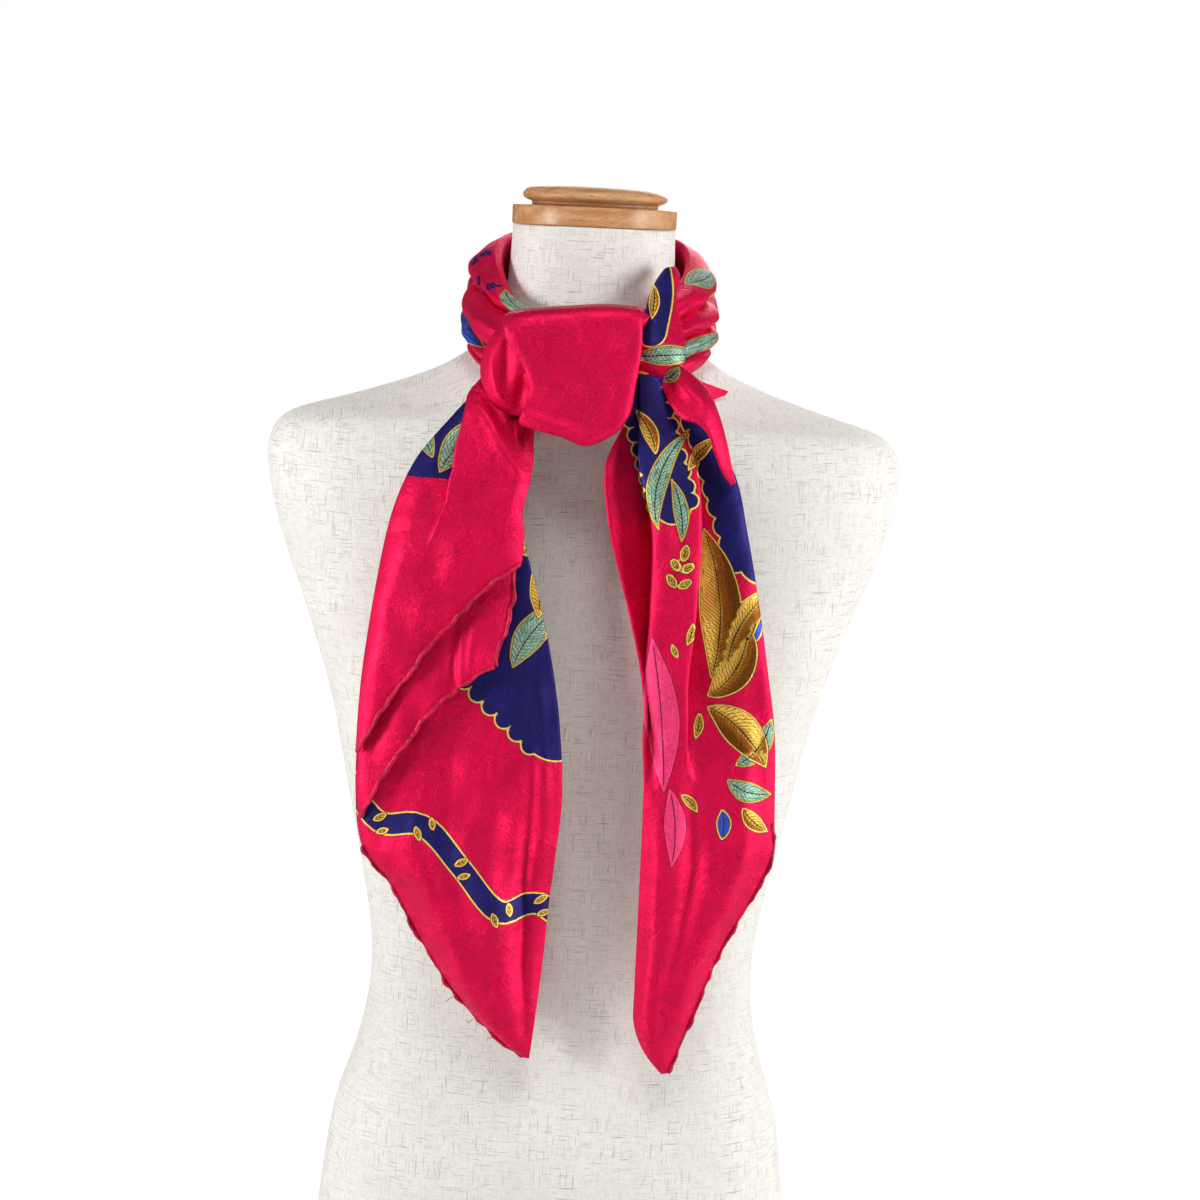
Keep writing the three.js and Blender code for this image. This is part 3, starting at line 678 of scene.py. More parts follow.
def ribbon(rows, wide):
    """A stroke of one half width."""
    return [(x, z, wide) for x, z in rows]


def spray(x, z, long, turn, pairs, size):
    """Pairs of small leaves along an unseen stem, with one more at its tip."""
    way = math.radians(turn)
    rows = [leaf(x + long * math.cos(way), z + long * math.sin(way), size, size * 0.3, turn)]
    for k in range(pairs):
        far = long * (k + 1) / (pairs + 0.6)
        at = (x + far * math.cos(way), z + far * math.sin(way))
        for side in (-1, 1):
            rows.append(leaf(*at, size * (1 - 0.08 * k), size * 0.28, turn + side * 48))
    return rows


def field(rows, wide, lobe=9.0, gap=11.0):
    """A broad patch along a line, with scallops round its edge."""
    line = np.array(rows, float)
    strokes = [ribbon(rows, wide)]
    for far in np.arange(0, run(line)[-1] + 1, gap):
        x, z = on_line(line, far)
        ahead = on_line(line, far + 1) - on_line(line, far - 1)
        way = math.atan2(ahead[1], ahead[0]) + math.pi / 2
        for side in (-1, 1):
            at = (x + side * wide * math.cos(way), z + side * wide * math.sin(way))
            strokes.append([(*at, lobe * 0.8), (at[0] + 0.1, at[1], lobe * 0.8)])
    return strokes


class Print:
    """Distances in mm from the printed shapes, at each point of a cloth."""

    LEAVES = ("mint", "gold", "cobalt", "rose")
    KINDS = ("navy", "bud", *LEAVES)
    PLACES = ("along", "across")

    def __init__(self, x, z):
        self.x, self.z = x, z
        self.values = {kind: np.full(len(x), FAR) for kind in self.KINDS}
        self.values.update({place: np.zeros(len(x)) for place in self.PLACES})
        self.closest = np.full(len(x), FAR)

    def add(self, kind, *strokes):
        """Draws strokes. A leaf also keeps the place along and across it, for its veins."""
        for rows in strokes:
            near, far, along, across = nearest(self.x, self.z, rows)
            self.values[kind][near] = np.minimum(self.values[kind][near], far)
            if kind in self.LEAVES:
                closer = far < self.closest[near]
                near = near[closer]
                self.closest[near] = far[closer]
                self.values["along"][near] = along[closer]
                self.values["across"][near] = across[closer]


# Making meshes


def mesh_from(bm, name):
    """A smooth mesh from a bmesh, which is then freed."""
    mesh = bpy.data.meshes.new(name)
    bm.to_mesh(mesh)
    bm.free()
    mesh.shade_smooth()
    return mesh


def grid_mesh(name, columns, rows, surface, closed=False, printed=None, flat=None):
    """A mesh from a grid laid on a surface. u and v go from 0 to 1 over the grid. A closed
    surface meets itself where u is 0 and 1. The print and the weave are laid on the flat cloth,
    in the millimetres that "flat" gives, or else in those of the surface seen from the front."""
    bm = bmesh.new()
    bmesh.ops.create_grid(bm, x_segments=columns, y_segments=rows, size=0.5)
    mesh = mesh_from(bm, name)
    place = np.empty(3 * len(mesh.vertices))
    mesh.vertices.foreach_get("co", place)
    u, v = place.reshape(-1, 3)[:, 0] + 0.5, 0.5 - place.reshape(-1, 3)[:, 1]
    laid = surface(u, v)
    mesh.vertices.foreach_set("co", (laid * MM).ravel())
    x, z = flat(u, v, laid) if flat else (laid[:, 0], laid[:, 2])
    loops = np.empty(len(mesh.loops), int)
    mesh.loops.foreach_get("vertex_index", loops)
    layer = mesh.uv_layers.new(name="cloth")
    layer.uv.foreach_set("vector", (np.stack([x, z], 1) * MM)[loops].ravel())
    if printed:
        design = Print(x, z)
        printed(design)
        for kind, values in design.values.items():
            mesh.attributes.new(kind, "FLOAT", "POINT").data.foreach_set("value", values)
    if closed:
        close_section(mesh)
    mesh.shade_smooth()
    return mesh


def close_section(mesh):
    """Joins the seam of a grid that was rolled into a closed section, and fills its two ends."""
    bm = bmesh.new()
    bm.from_mesh(mesh)
    bmesh.ops.remove_doubles(bm, verts=bm.verts, dist=1e-6)
    open_edges = [edge for edge in bm.edges if edge.is_boundary]
    if open_edges:
        bmesh.ops.holes_fill(bm, edges=open_edges, sides=0)
    bmesh.ops.recalc_face_normals(bm, faces=bm.faces)
    bm.to_mesh(mesh)
    bm.free()


def piece(name, mesh, finish, replaces=()):
    """A piece of the object, which stands for the nodes that it replaces."""
    obj = bpy.data.objects.new(name, mesh)
    bpy.context.scene.collection.objects.link(obj)
    mesh.materials.append(finish)
    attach(obj, "root")
    if replaces:
        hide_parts(*replaces)
    return obj


def shell(obj, thickness):
    """Gives a layer of silk its thickness, half to each side."""
    solid = obj.modifiers.new("Silk", "SOLIDIFY")
    solid.thickness = thickness
    solid.offset = 0


def declare_sheet(obj, long_side, layers=1):
    """Works out the flat width of the stretch of the square that a piece shows, and keeps it
    nowhere. A closed piece is one cloth folded in two, so its mesh has twice that area."""
    area = sum(face.area for face in obj.data.polygons) / layers
    wide = math.ceil(area / long_side * 1000) / 1000


# Materials


class Socket:
    """An output of a node. Arithmetic on it adds Math nodes."""

    def __init__(self, finish, socket):
        self.finish, self.socket = finish, socket

    def math(self, operation, *values):
        inputs = dict(enumerate((self, *values)))
        return self.finish.node("ShaderNodeMath", {"operation": operation}, inputs)

    def __add__(self, other):
        return self.math("ADD", other)

    def __mul__(self, other):
        return self.math("MULTIPLY", other)

    __radd__ = __add__
    __rmul__ = __mul__

    def __sub__(self, other):
        return self.math("SUBTRACT", other)

    def __rsub__(self, other):
        return (self * -1).math("ADD", other)

    def lowest(self, other):
        return self.math("MINIMUM", other)

    def highest(self, other):
        return self.math("MAXIMUM", other)

    def size(self):
        return self.math("ABSOLUTE")

    def step(self, low, high, bottom=0.0, top=1.0):
        """Goes smoothly from bottom at low to top at high."""
        return self.finish.node(
            "ShaderNodeMapRange", {"interpolation_type": "SMOOTHSTEP"},
            {"Value": self, "From Min": low, "From Max": high, "To Min": bottom, "To Max": top})


class Finish:
    """A material that is built from nodes."""

    def __init__(self, name):
        self.material = bpy.data.materials.new(name)
        self.material.use_nodes = True
        self.tree = self.material.node_tree
        self.tree.nodes.clear()

    def node(self, kind, settings, inputs=None, out=0):
        """A node of that kind with its settings, and the values or links of its sockets."""
        node = self.tree.nodes.new(kind)
        for key, value in settings.items():
            setattr(node, key, value)
        for key, value in (inputs or {}).items():
            if isinstance(value, Socket):
                self.tree.links.new(value.socket, node.inputs[key])
            else:
                node.inputs[key].default_value = value
        return Socket(self, node.outputs[out]) if len(node.outputs) else None

    def mix(self, share, first, second):
        """Two colours mixed by a share."""
        first, second = (c if isinstance(c, Socket) else (*c, 1.0)[:4] for c in (first, second))
        return self.node("ShaderNodeMix", {"data_type": "RGBA"}, {0: share, 6: first, 7: second}, 2)

    def layered(self, ground, *layers):
        """A colour with others laid over it, each through its own mask from 0 to 1."""
        for mask, tone in layers:
            ground = self.mix(mask, ground, tone)
        return ground

    def noise(self, vector, scale, detail=2.0, rough=0.5):
        return self.node("ShaderNodeTexNoise", {},
                         {"Vector": vector, "Scale": scale, "Detail": detail, "Roughness": rough})

    def axes(self, vector):
        """The three numbers of a vector."""
        parts = self.tree.nodes.new("ShaderNodeSeparateXYZ")
        self.tree.links.new(vector.socket, parts.inputs[0])
        return [Socket(self, part) for part in parts.outputs]

    def stretched(self, vector, x, y, z=1.0):
        return self.node("ShaderNodeMapping", {}, {"Vector": vector, "Scale": (x, y, z)})

    def bump(self, height, strength, distance):
        return self.node("ShaderNodeBump", {},
                         {"Height": height, "Strength": strength, "Distance": distance})

    def attribute(self, name):
        return self.node("ShaderNodeAttribute", {"attribute_name": name}, {}, 2)

    def surface(self, **inputs):
        """The surface shader. Underscores in the names stand for spaces."""
        named = {key.replace("_", " "): value for key, value in inputs.items()}
        shader = self.node("ShaderNodeBsdfPrincipled", {}, named)
        self.node("ShaderNodeOutputMaterial", {}, {"Surface": shader})
        return self.material

    def given(self, kind, name):
        """The named output of a node that needs no input."""
        return Socket(self, self.tree.nodes.new(kind).outputs[name])


def darker(tone, share):
    return tuple(c * share for c in tone)


def damask(finish, flat):
    """The woven pattern, from 0 to 1: wavy outlines round small shapeless patches, fainter in
    some places than in others, with finer lines between them."""
    patches = finish.noise(flat, 42, 1).step(0.4, 0.58, 0.35, 1.0)
    figures = finish.noise(flat, 150, 2)
    outline = (figures - 0.5).size().step(0.015, 0.045, 1.0, 0.0)
    filled = figures.step(0.54, 0.6, 0.0, 0.6)
    fine = (finish.noise(flat, 330, 3, 0.6) - 0.5).size().step(0.015, 0.07, 0.5, 0.0)
    return (outline.highest(filled) * patches).highest(fine)


def silk_finish(colours):
    """Printed silk with a woven tone-on-tone pattern and a satin face."""
    finish = Finish("Silk")
    flat = finish.node("ShaderNodeUVMap", {"uv_map": "cloth"})
    far = {kind: finish.attribute(kind) for kind in Print.KINDS}
    along, across = (finish.attribute(place) for place in Print.PLACES)
    soft = 0.2  # mm over which a printed edge softens

    def inside(distance, inset=0.0):
        """1 inside a shape, from "inset" mm behind its edge, and 0 outside."""
        return distance.step(-inset - soft, -inset + soft, 1.0, 0.0)

    def line(distance, wide):
        """1 on a line of that width in mm, and 0 beside it."""
        return distance.size().step(wide * 0.5, wide * 0.5 + soft * 1.5, 1.0, 0.0)

    crimson, navy, mint, moss, gold, amber, cobalt, rose, ink = (
        tuple(getattr(colours, name)) for name in
        ("crimson", "navy", "mint", "moss", "gold", "amber", "cobalt", "rose", "ink"))
    cloud = finish.noise(flat, 28, 3)
    fibre = finish.noise(finish.stretched(flat, 3200, 900), 1, 2)
    on_leaf = finish.node("ShaderNodeCombineXYZ", {}, {"X": along * 0.16, "Y": across * 1.5})
    brush = finish.noise(on_leaf, 1, 3, 0.65)
    wash = finish.noise(on_leaf, 0.35, 2)
    # Side veins lean forward from the middle line
    slant = (along - across.size() * 0.9) * 0.22
    veins = line((slant.math("PINGPONG", 0.5) - 0.25) * 3.4, 0.22)
    midrib = line(across, 0.35)
    streak = brush.step(0.5, 0.62)
    light_gold = tuple(min(1.0, c * 1.35 + 0.03) for c in gold)
    relief = across * 0.14 + wash * 1.2 + brush * 0.5
    # What fills the leaves of each kind
    fills = {
        "mint": finish.mix(streak.highest(veins * 0.8), mint, moss),
        "cobalt": finish.mix(streak.highest(veins * 0.5), cobalt, darker(cobalt, 0.42)),
        "rose": finish.mix(wash.step(0.3, 0.7) * 0.6 + veins * 0.4, rose, darker(rose, 0.8)),
        "gold": finish.layered(
            gold,
            (relief.step(0.75, 1.15), amber),
            (relief.step(0.35, 0.6, 1.0, 0.0), light_gold),
            (relief.step(1.3, 1.75), darker(amber, 0.45)),
            (veins * 0.75, darker(amber, 0.4)),
        ),
    }

    # The print from the ground up. Each shape has a fine outline, a rim and its fill.
    navy_tone = finish.mix(cloud.step(0.3, 0.7), navy, darker(navy, 1.3))
    print_now = finish.layered(
        finish.mix(cloud.step(0.35, 0.65), darker(crimson, 0.9), crimson),
        (inside(far["navy"], -0.7), ink),
        (inside(far["navy"], -0.35), light_gold),
        (inside(far["navy"], 0.65), navy_tone),
        (inside(far["bud"]), navy_tone),
    )
    for kind, rim in (("rose", rose), ("cobalt", light_gold), ("mint", gold), ("gold", light_gold)):
        at = far[kind]
        print_now = finish.layered(print_now, (inside(at), ink), (inside(at, 0.4), rim))
        if kind != "rose":
            print_now = finish.mix(inside(at, 1.15), print_now, darker(ink, 1.6))
        print_now = finish.mix(inside(at, 1.4), print_now, fills[kind])
    ribbed = far["mint"].lowest(far["gold"]).lowest(far["cobalt"]).lowest(far["rose"])
    ribbed = ribbed.step(-2.4, -1.6, 1.0, 0.0)
    print_now = finish.mix(ribbed * midrib, print_now, ink)

    # The woven pattern shows lighter and a little raised
    woven = damask(finish, flat)
    dark, light = (finish.node("ShaderNodeHueSaturation", {}, {"Value": value, "Color": print_now})
                   for value in (0.86, 1.18))
    crinkle = finish.noise(flat, 230, 4, 0.65)
    ripple = finish.noise(finish.stretched(flat, 70, 120), 1, 3)
    height = fibre * 0.15 + crinkle * 0.6 + ripple * 0.8 + woven * 0.45
    return finish.surface(
        Base_Color=finish.mix(woven, dark, light),
        Metallic=0.5,
        Roughness=cloud * 0.1 + fibre * 0.1 + 0.42 - woven * 0.08,
        Specular_IOR_Level=0.25,
        Specular_Tint=(1.0, 0.68, 0.76, 1.0),
        Sheen_Weight=0.03,
        Sheen_Roughness=0.4,
        Sheen_Tint=(1.0, 0.5, 0.65, 1.0),
        Normal=finish.bump(height, 0.5, 0.0007),
    )


def linen_finish(colours):
    """Plain woven flax with thick uneven threads both ways."""
    finish = Finish("Linen")
    place = finish.given("ShaderNodeTexCoord", "Object")
    patch = finish.noise(place, 30, 3)
    # The cover is cut so that its threads run level and upright on the front, back and sides
    x, y, z = finish.axes(place)
    facing = finish.axes(finish.given("ShaderNodeTexCoord", "Normal"))
    waver = (patch - 0.5) * 0.3
    at_side, on_top = ((facing[k].size() + waver).math("GREATER_THAN", 0.72) for k in (0, 2))
    flat = finish.node("ShaderNodeCombineXYZ", {}, {
        "X": x + (y - x) * at_side, "Y": z + (y - z) * on_top})
    linen, slub = tuple(colours.linen), tuple(colours.slub)

    def threads(long, thick, low, high):
        """Streaks both ways, long one way and thick the other, in metres."""
        across = finish.noise(finish.stretched(flat, 1 / long, 1 / thick), 1, 2, 0.6)
        upward = finish.noise(finish.stretched(flat, 1 / thick, 1 / long), 1, 2, 0.6)
        return across.step(low, high).highest(upward.step(low, high) * 0.9)

    thick = threads(0.017, 0.0008, 0.59, 0.68) * patch.step(0.34, 0.6, 0.45, 1.0)
    thin = threads(0.008, 0.00045, 0.56, 0.66)
    weave = threads(0.004, 0.0004, 0.42, 0.6)
    tone = finish.layered(
        linen,
        (weave * 0.2, slub),
        (thin * 0.36, slub),
        (thick * 0.6, darker(slub, 0.66)),
        (patch.step(0.3, 0.7, 0.1, 0.0), slub),
    )
    height = weave * 0.4 + thin * 0.4 + thick * 0.8
    return finish.surface(
        Base_Color=tone,
        Roughness=0.95 - thick * 0.1,
        Specular_IOR_Level=0.2,
        Sheen_Weight=0.1,
        Normal=finish.bump(height, 0.5, 0.0005),
    )


def wood_finish(colours):
    """Turned beech under a satin varnish, with its grain along X and short dark flecks."""
    finish = Finish("Beech")
    place = finish.given("ShaderNodeTexCoord", "Object")
    wobble = finish.noise(place, 14, 2)
    rings = finish.noise(finish.stretched(place, 7, 150, 210), 1, 3, 0.6)
    fine = finish.noise(finish.stretched(place, 34, 1300, 1300), 1, 2, 0.6)
    fleck = finish.noise(finish.stretched(place, 190, 1500, 2300), 1, 1)
    wood, grain = tuple(colours.wood), tuple(colours.grain)
    tone = finish.layered(
        wood,
        ((rings * 0.8 + wobble * 0.3).step(0.45, 0.64), grain),
        (fine.step(0.5, 0.64) * 0.45, grain),
        (fleck.step(0.6, 0.68) * 0.6, darker(grain, 0.5)),
    )
    return finish.surface(
        Base_Color=tone,
        Roughness=rings * 0.15 + 0.34,
        Specular_IOR_Level=0.35,
        Coat_Weight=0.15,
        Coat_Roughness=0.3,
        Normal=finish.bump(fine * 0.5 + rings * 0.5, 0.2, 0.0003),
    )


def thread_finish(colours):
    """Twisted sewing thread in the ground colour."""
    finish = Finish("Thread")
    place = finish.given("ShaderNodeTexCoord", "Object")
    twist = finish.noise(place, 1800, 2)
    tone = finish.mix(twist, darker(colours.crimson, 0.5), tuple(colours.crimson))
    return finish.surface(Base_Color=tone, Roughness=twist * 0.2 + 0.5,
                          Normal=finish.bump(twist, 0.4, 0.0002))


def hem_finish(colours):
    """The roll of a hem in the ground colour, with painted shade: both of its tones are darker than the
    ground, and noise picks the deeper one in places.
    """
    finish = Finish("Rolled hem")
    place = finish.given("ShaderNodeTexCoord", "Object")
    fine, broad = finish.noise(place, 900, 3), finish.noise(place, 190, 2)
    # Painted shade: both tones darken the ground colour in place of the shade in and under the roll. The
    # lighter one is named loose.
    hem_painted_shade_deep, loose = (darker(colours.crimson, share) for share in (0.42, 0.86))
    tone = finish.mix((fine * 0.4 + broad * 0.6).step(0.38, 0.6), hem_painted_shade_deep, loose)
    return finish.surface(Base_Color=tone, Metallic=0.3, Roughness=fine * 0.2 + 0.4,
                          Normal=finish.bump(fine, 0.5, 0.0003))


def plaster_finish():
    """The plain pale floor of the studio. It looks evenly bright without lighting the form."""
    finish = Finish("Studio floor")
    place = finish.given("ShaderNodeTexCoord", "Object")
    soft = finish.noise(place, 3, 2)
    tone = finish.mix(soft, (0.8, 0.8, 0.8), (0.84, 0.84, 0.84))
    matt = finish.node("ShaderNodeBsdfDiffuse", {}, {"Color": tone})
    bright = finish.node("ShaderNodeEmission", {}, {"Color": (1, 1, 1, 1), "Strength": 1.0})
    both = finish.node("ShaderNodeAddShader", {}, {0: matt, 1: bright})
    seen = finish.given("ShaderNodeLightPath", "Is Camera Ray")
    shown = finish.node("ShaderNodeMixShader", {}, {0: seen, 1: matt, 2: both})
    finish.node("ShaderNodeOutputMaterial", {}, {"Surface": shown})
    return finish.material


def material(name, make, *settings):
    """The material of that name, made at its first use."""
    return bpy.data.materials.get(name) or make(*settings)


def silk(context):
    """The printed silk, which every piece of the square shares."""
    return material("Silk", silk_finish, context.scene.silk_colours)


# Print of each stretch. The shapes are set in the cloth's own millimetres.


def left_front_print(design):
    """A scalloped field left of the ridge, with three leaves on it."""
    design.add("navy", *field([(-346, 600), (-362, 572), (-388, 550)], 19))
    design.add("mint", leaf(-374, 540, 44, 9, 66, -16), leaf(-378, 548, 30, 6, 112, 10))
    design.add("gold", leaf(-386, 566, 16, 3.4, 150))


def left_back_print(design):
    """A scalloped field with leaves on it, and a winding ribbon below."""
    design.add("navy", *field([(-10, 560), (-14, 498), (-10, 440), (-6, 400)], 29))
    design.add("navy", *field([(-62, 436), (-34, 410), (-8, 386)], 15, 7))
    design.add("mint", leaf(-36, 426, 50, 9.5, 74, -20), leaf(-44, 440, 30, 6.5, 124, 16))
    design.add("gold", leaf(-22, 456, 30, 5.5, 84, 16), leaf(-18, 446, 22, 5, 38, 14))
    design.add("gold", *spray(-30, 486, 24, 84, 3, 9))
    design.add("cobalt", leaf(-12, 506, 20, 5, 100, 12))
    vine = [(-134, 356), (-112, 330), (-86, 330), (-62, 306), (-38, 280), (-14, 284), (10, 262)]
    design.add("navy", ribbon(vine, 6.6))
    for i, (x, z) in enumerate(vine[1:-1]):
        turn = 50 - 100 * (i % 2)
        design.add("gold", leaf(x - 4, z, 11, 2.6, turn - 20), leaf(x + 7, z - 4, 10, 2.4, turn + 150))


def right_print(design):
    """Two scalloped fields at the top, and leaves down the rest of the tail."""
    design.add("navy", *field([(66, 614), (88, 570), (100, 532), (112, 500)], 19))
    design.add("navy", *field([(32, 596), (44, 560), (54, 528)], 11, 6, 9))
    design.add("mint", leaf(47, 512, 64, 6.5, 112, -38), leaf(60, 506, 40, 5, 84, 18))
    design.add("gold", leaf(43, 556, 30, 5, 96, 22), leaf(62, 548, 26, 4.6, 66, -18))
    design.add("rose", leaf(57, 356, 96, 11, 92, 5), leaf(60, 360, 50, 7, -72, -14))
    design.add("gold", *spray(57, 470, 26, 80, 2, 11))
    design.add("gold", leaf(66, 446, 15, 3, 64, 14), leaf(62, 438, 11, 2.4, 128, -12))
    design.add("gold", leaf(82, 424, 92, 13, 76, 20), leaf(92, 424, 64, 10, 98, -34))
    design.add("gold", leaf(80, 414, 50, 11, 30, 34), leaf(80, 408, 52, 11, -20, -24))
    design.add("mint", leaf(98, 374, 36, 7, 20, 34), leaf(94, 366, 30, 6.5, -44, 26))
    design.add("cobalt", leaf(100, 444, 24, 6, 52, 20), leaf(92, 348, 20, 5, -72, -16))
    design.add("gold", leaf(104, 350, 24, 5, -64, 20), leaf(74, 388, 18, 3.4, 70, 14))
    design.add("gold", leaf(78, 344, 17, 3.4, 118, 16))


def flap_print(design):
    """One pale leaf."""
    design.add("mint", leaf(44, 600, 14, 4, 10, 30))


def side_print(design):
    """Two narrow leaves at the top."""
    design.add("gold", leaf(-51, 630, 13, 1.8, -52, -10), leaf(-46, 623, 9, 1.6, -44, 10))


def collar_print(design):
    """Leaves, sprigs and fields, from the band's left end round the neck to its right one."""
    design.add("cobalt", leaf(60, 45, 62, 9, -2, 6), leaf(122, 40, 40, 7, 20, -10))
    design.add("mint", leaf(22, 146, 50, 8, -2, 8), leaf(20, -66, 48, 8, 2, -6))
    design.add("mint", leaf(130, 92, 44, 8, 8, 24), leaf(140, 22, 40, 8, 44, 20))
    design.add("gold", leaf(34, 134, 30, 3.6, -8, -6), leaf(84, 58, 30, 4, 8, -10))
    design.add("gold", leaf(36, 8, 40, 5, 4, 6))
    sprigs = [(78 + 14 * k, 126 + 13 * row + 5 * (k % 2)) for k in range(8) for row in range(2)]
    for k, (x, z) in enumerate(sprigs):
        design.add("bud", *spray(x, z, 8, 40 + 67 * k, 2, 4.4), leaf(x, z, 8, 0.5, 40 + 67 * k))
    design.add("gold", leaf(168, 16, 40, 8, 28, 20), leaf(206, 60, 46, 9, 204, -20))
    design.add("navy", *field([(190, 140), (214, 100), (248, 40), (288, 8)], 9, 6))
    design.add("mint", leaf(262, 22, 52, 9, 24, 12), leaf(250, 96, 52, 9, 176, 16))
    design.add("gold", leaf(300, 44, 40, 7, -12, 16), leaf(270, 132, 40, 7, 16, 16))
    design.add("mint", leaf(346, 140, 42, 8.5, 4, 10), leaf(362, 45, 84, 8.5, 2, 4))
    design.add("gold", leaf(352, 128, 30, 4.5, -20, 20), leaf(404, 55, 32, 4, -4, 10))
    design.add("navy", *field([(424, 80), (446, 92)], 11, 6), ribbon([(420, 8), (446, 6)], 8))
    design.add("gold", leaf(422, 92, 24, 5, -14, 20), leaf(424, 8, 24, 4.5, 0, 20))
    design.add("cobalt", leaf(330, 62, 26, 5, -10, 14))


def inner_print(design):
    """A ribbon with two leaves."""
    design.add("navy", ribbon([(37, 668), (40, 650), (37, 628)], 9.5))
    design.add("gold", leaf(37, 634, 22, 3.6, 78, 10))
    design.add("mint", leaf(26, 612, 44, 6.5, 8, -4))


def plain_print(design):
    """A stretch of plain ground."""


def collar_flat(start, end):
    """Millimetres on the band's flat cloth, between two turns round the neck. Each crease
    between two rolls hides a strip of it."""
    def flat(u, v, laid):
        turn = lerp(start, end, v)
        place = (1 - np.cos(2 * math.pi * u)) / 2
        _, number = rolls(turn, place)
        across = np.where(u <= 0.5, place * BAND_WIDE + number * HIDDEN, -place * BAND_WIDE)
        return np.radians(turn) * BAND_RADIUS, across
    return flat


def ridge_flat(u, v, laid):
    """The front layer's cloth left of its ridge lies set back, so its print starts elsewhere."""
    across = (u - TURN_SHARE) / (1 - 2 * TURN_SHARE)
    back = (across < np.interp(v, *RIDGE.T)) & (v < 0.54)
    return laid[:, 0] - np.where(back, 290, 0), laid[:, 2]


# Rolled hems

FRONT = np.array([0.0, -1.0, 0.0])  # the way that the cloth faces

# Loose ends of thread: place along the hem, length and rise in mm
LOOSE_THREADS = [(0.56, 5, 3), (0.6, 7, -2), (0.63, 4, 4), (0.7, 6, -3), (0.74, 5, 2), (0.8, 4, -3)]


def edge_line(surface, first, last, steps):
    """Points along an edge, from one (u, v) to another."""
    share = np.linspace(0, 1, steps)
    return surface(lerp(first[0], last[0], share), lerp(first[1], last[1], share))


def evenly(line, gap):
    """Points a fixed distance apart along a line, and the directions there."""
    at = np.arange(gap / 2, run(line)[-1], gap)
    placed = on_line(line, at)
    return placed, unit(on_line(line, at + 0.5) - placed)


def hem_surface(line, radius, gap, sway):
    """A roll along a line, pinched by each stitch and a little uneven. It sways to both sides
    by about the millimetres given."""
    total = run(line)[-1]

    def surface(around, along):
        far = along * total
        way = unit(on_line(line, far + 1) - on_line(line, far - 1))
        side = unit(np.cross(way, FRONT))
        pinch = 1 - 0.16 * np.exp(-((((far / gap) % 1) - 0.5) / 0.16) ** 2)
        plump = 1 + 0.12 * np.sin(far / 5.3 + 1) + 0.08 * np.sin(far / 2.9)
        close = np.sqrt(np.clip(np.minimum(far, total - far) / radius, 0, 1))
        wide = (radius * pinch * plump * close)[:, None]
        angle = (2 * math.pi * around)[:, None]
        bend = 0.5 * np.sin(far / 1.7) + np.sin(far / 2.9 + 2 * np.sin(far / 17)) + np.sin(far / 7.3)
        lift = 0.25 * np.sin(far / 4.3 + 1)
        centre = on_line(line, far) + sway * bend[:, None] * side
        centre = centre + FRONT * (radius * 0.4 + sway * lift[:, None])
        return centre + wide * (np.cos(angle) * side + np.sin(angle) * FRONT)
    return surface


def add_hem(context, name, line, sway):
    """The roll of a hem along a line."""
    sizes = context.scene.cloth_sizes
    skin = hem_surface(line, sizes.hem_radius / MM, sizes.stitch_gap / MM, sway)
    row_gap = 0.7  # mm between the rows of the mesh
    mesh = grid_mesh(name, 12, int(run(line)[-1] / row_gap), skin, closed=True)
    finish = material("Rolled hem", hem_finish, context.scene.silk_colours)
    return piece(name, mesh, finish)


def add_stitches(context, name, line):
    """Small slanting stitches over the roll of a hem, as one mesh."""
    sizes = context.scene.cloth_sizes
    radius = sizes.hem_radius
    thread = 0.00016  # half its thickness in metres
    front = Vector(FRONT)
    bm = bmesh.new()
    for place, way in zip(*evenly(line, sizes.stitch_gap / MM)):
        forward = Vector(way)
        side = forward.cross(front).normalized()
        slant = (side + 0.6 * forward).normalized()
        out = slant.cross(forward).normalized()
        turn = Matrix((slant, forward.cross(slant).normalized(), out)).transposed().to_4x4()
        centre = Vector(place) * MM + front * radius * 1.38
        size = Matrix.Diagonal((radius * 0.62, thread, thread, 1))
        bmesh.ops.create_icosphere(bm, subdivisions=1, radius=1,
                                   matrix=Matrix.Translation(centre) @ turn @ size)
    bmesh.ops.recalc_face_normals(bm, faces=bm.faces)
    finish = material("Thread", thread_finish, context.scene.silk_colours)
    return piece(name, mesh_from(bm, name), finish)


# Operators, one for each piece or group of pieces


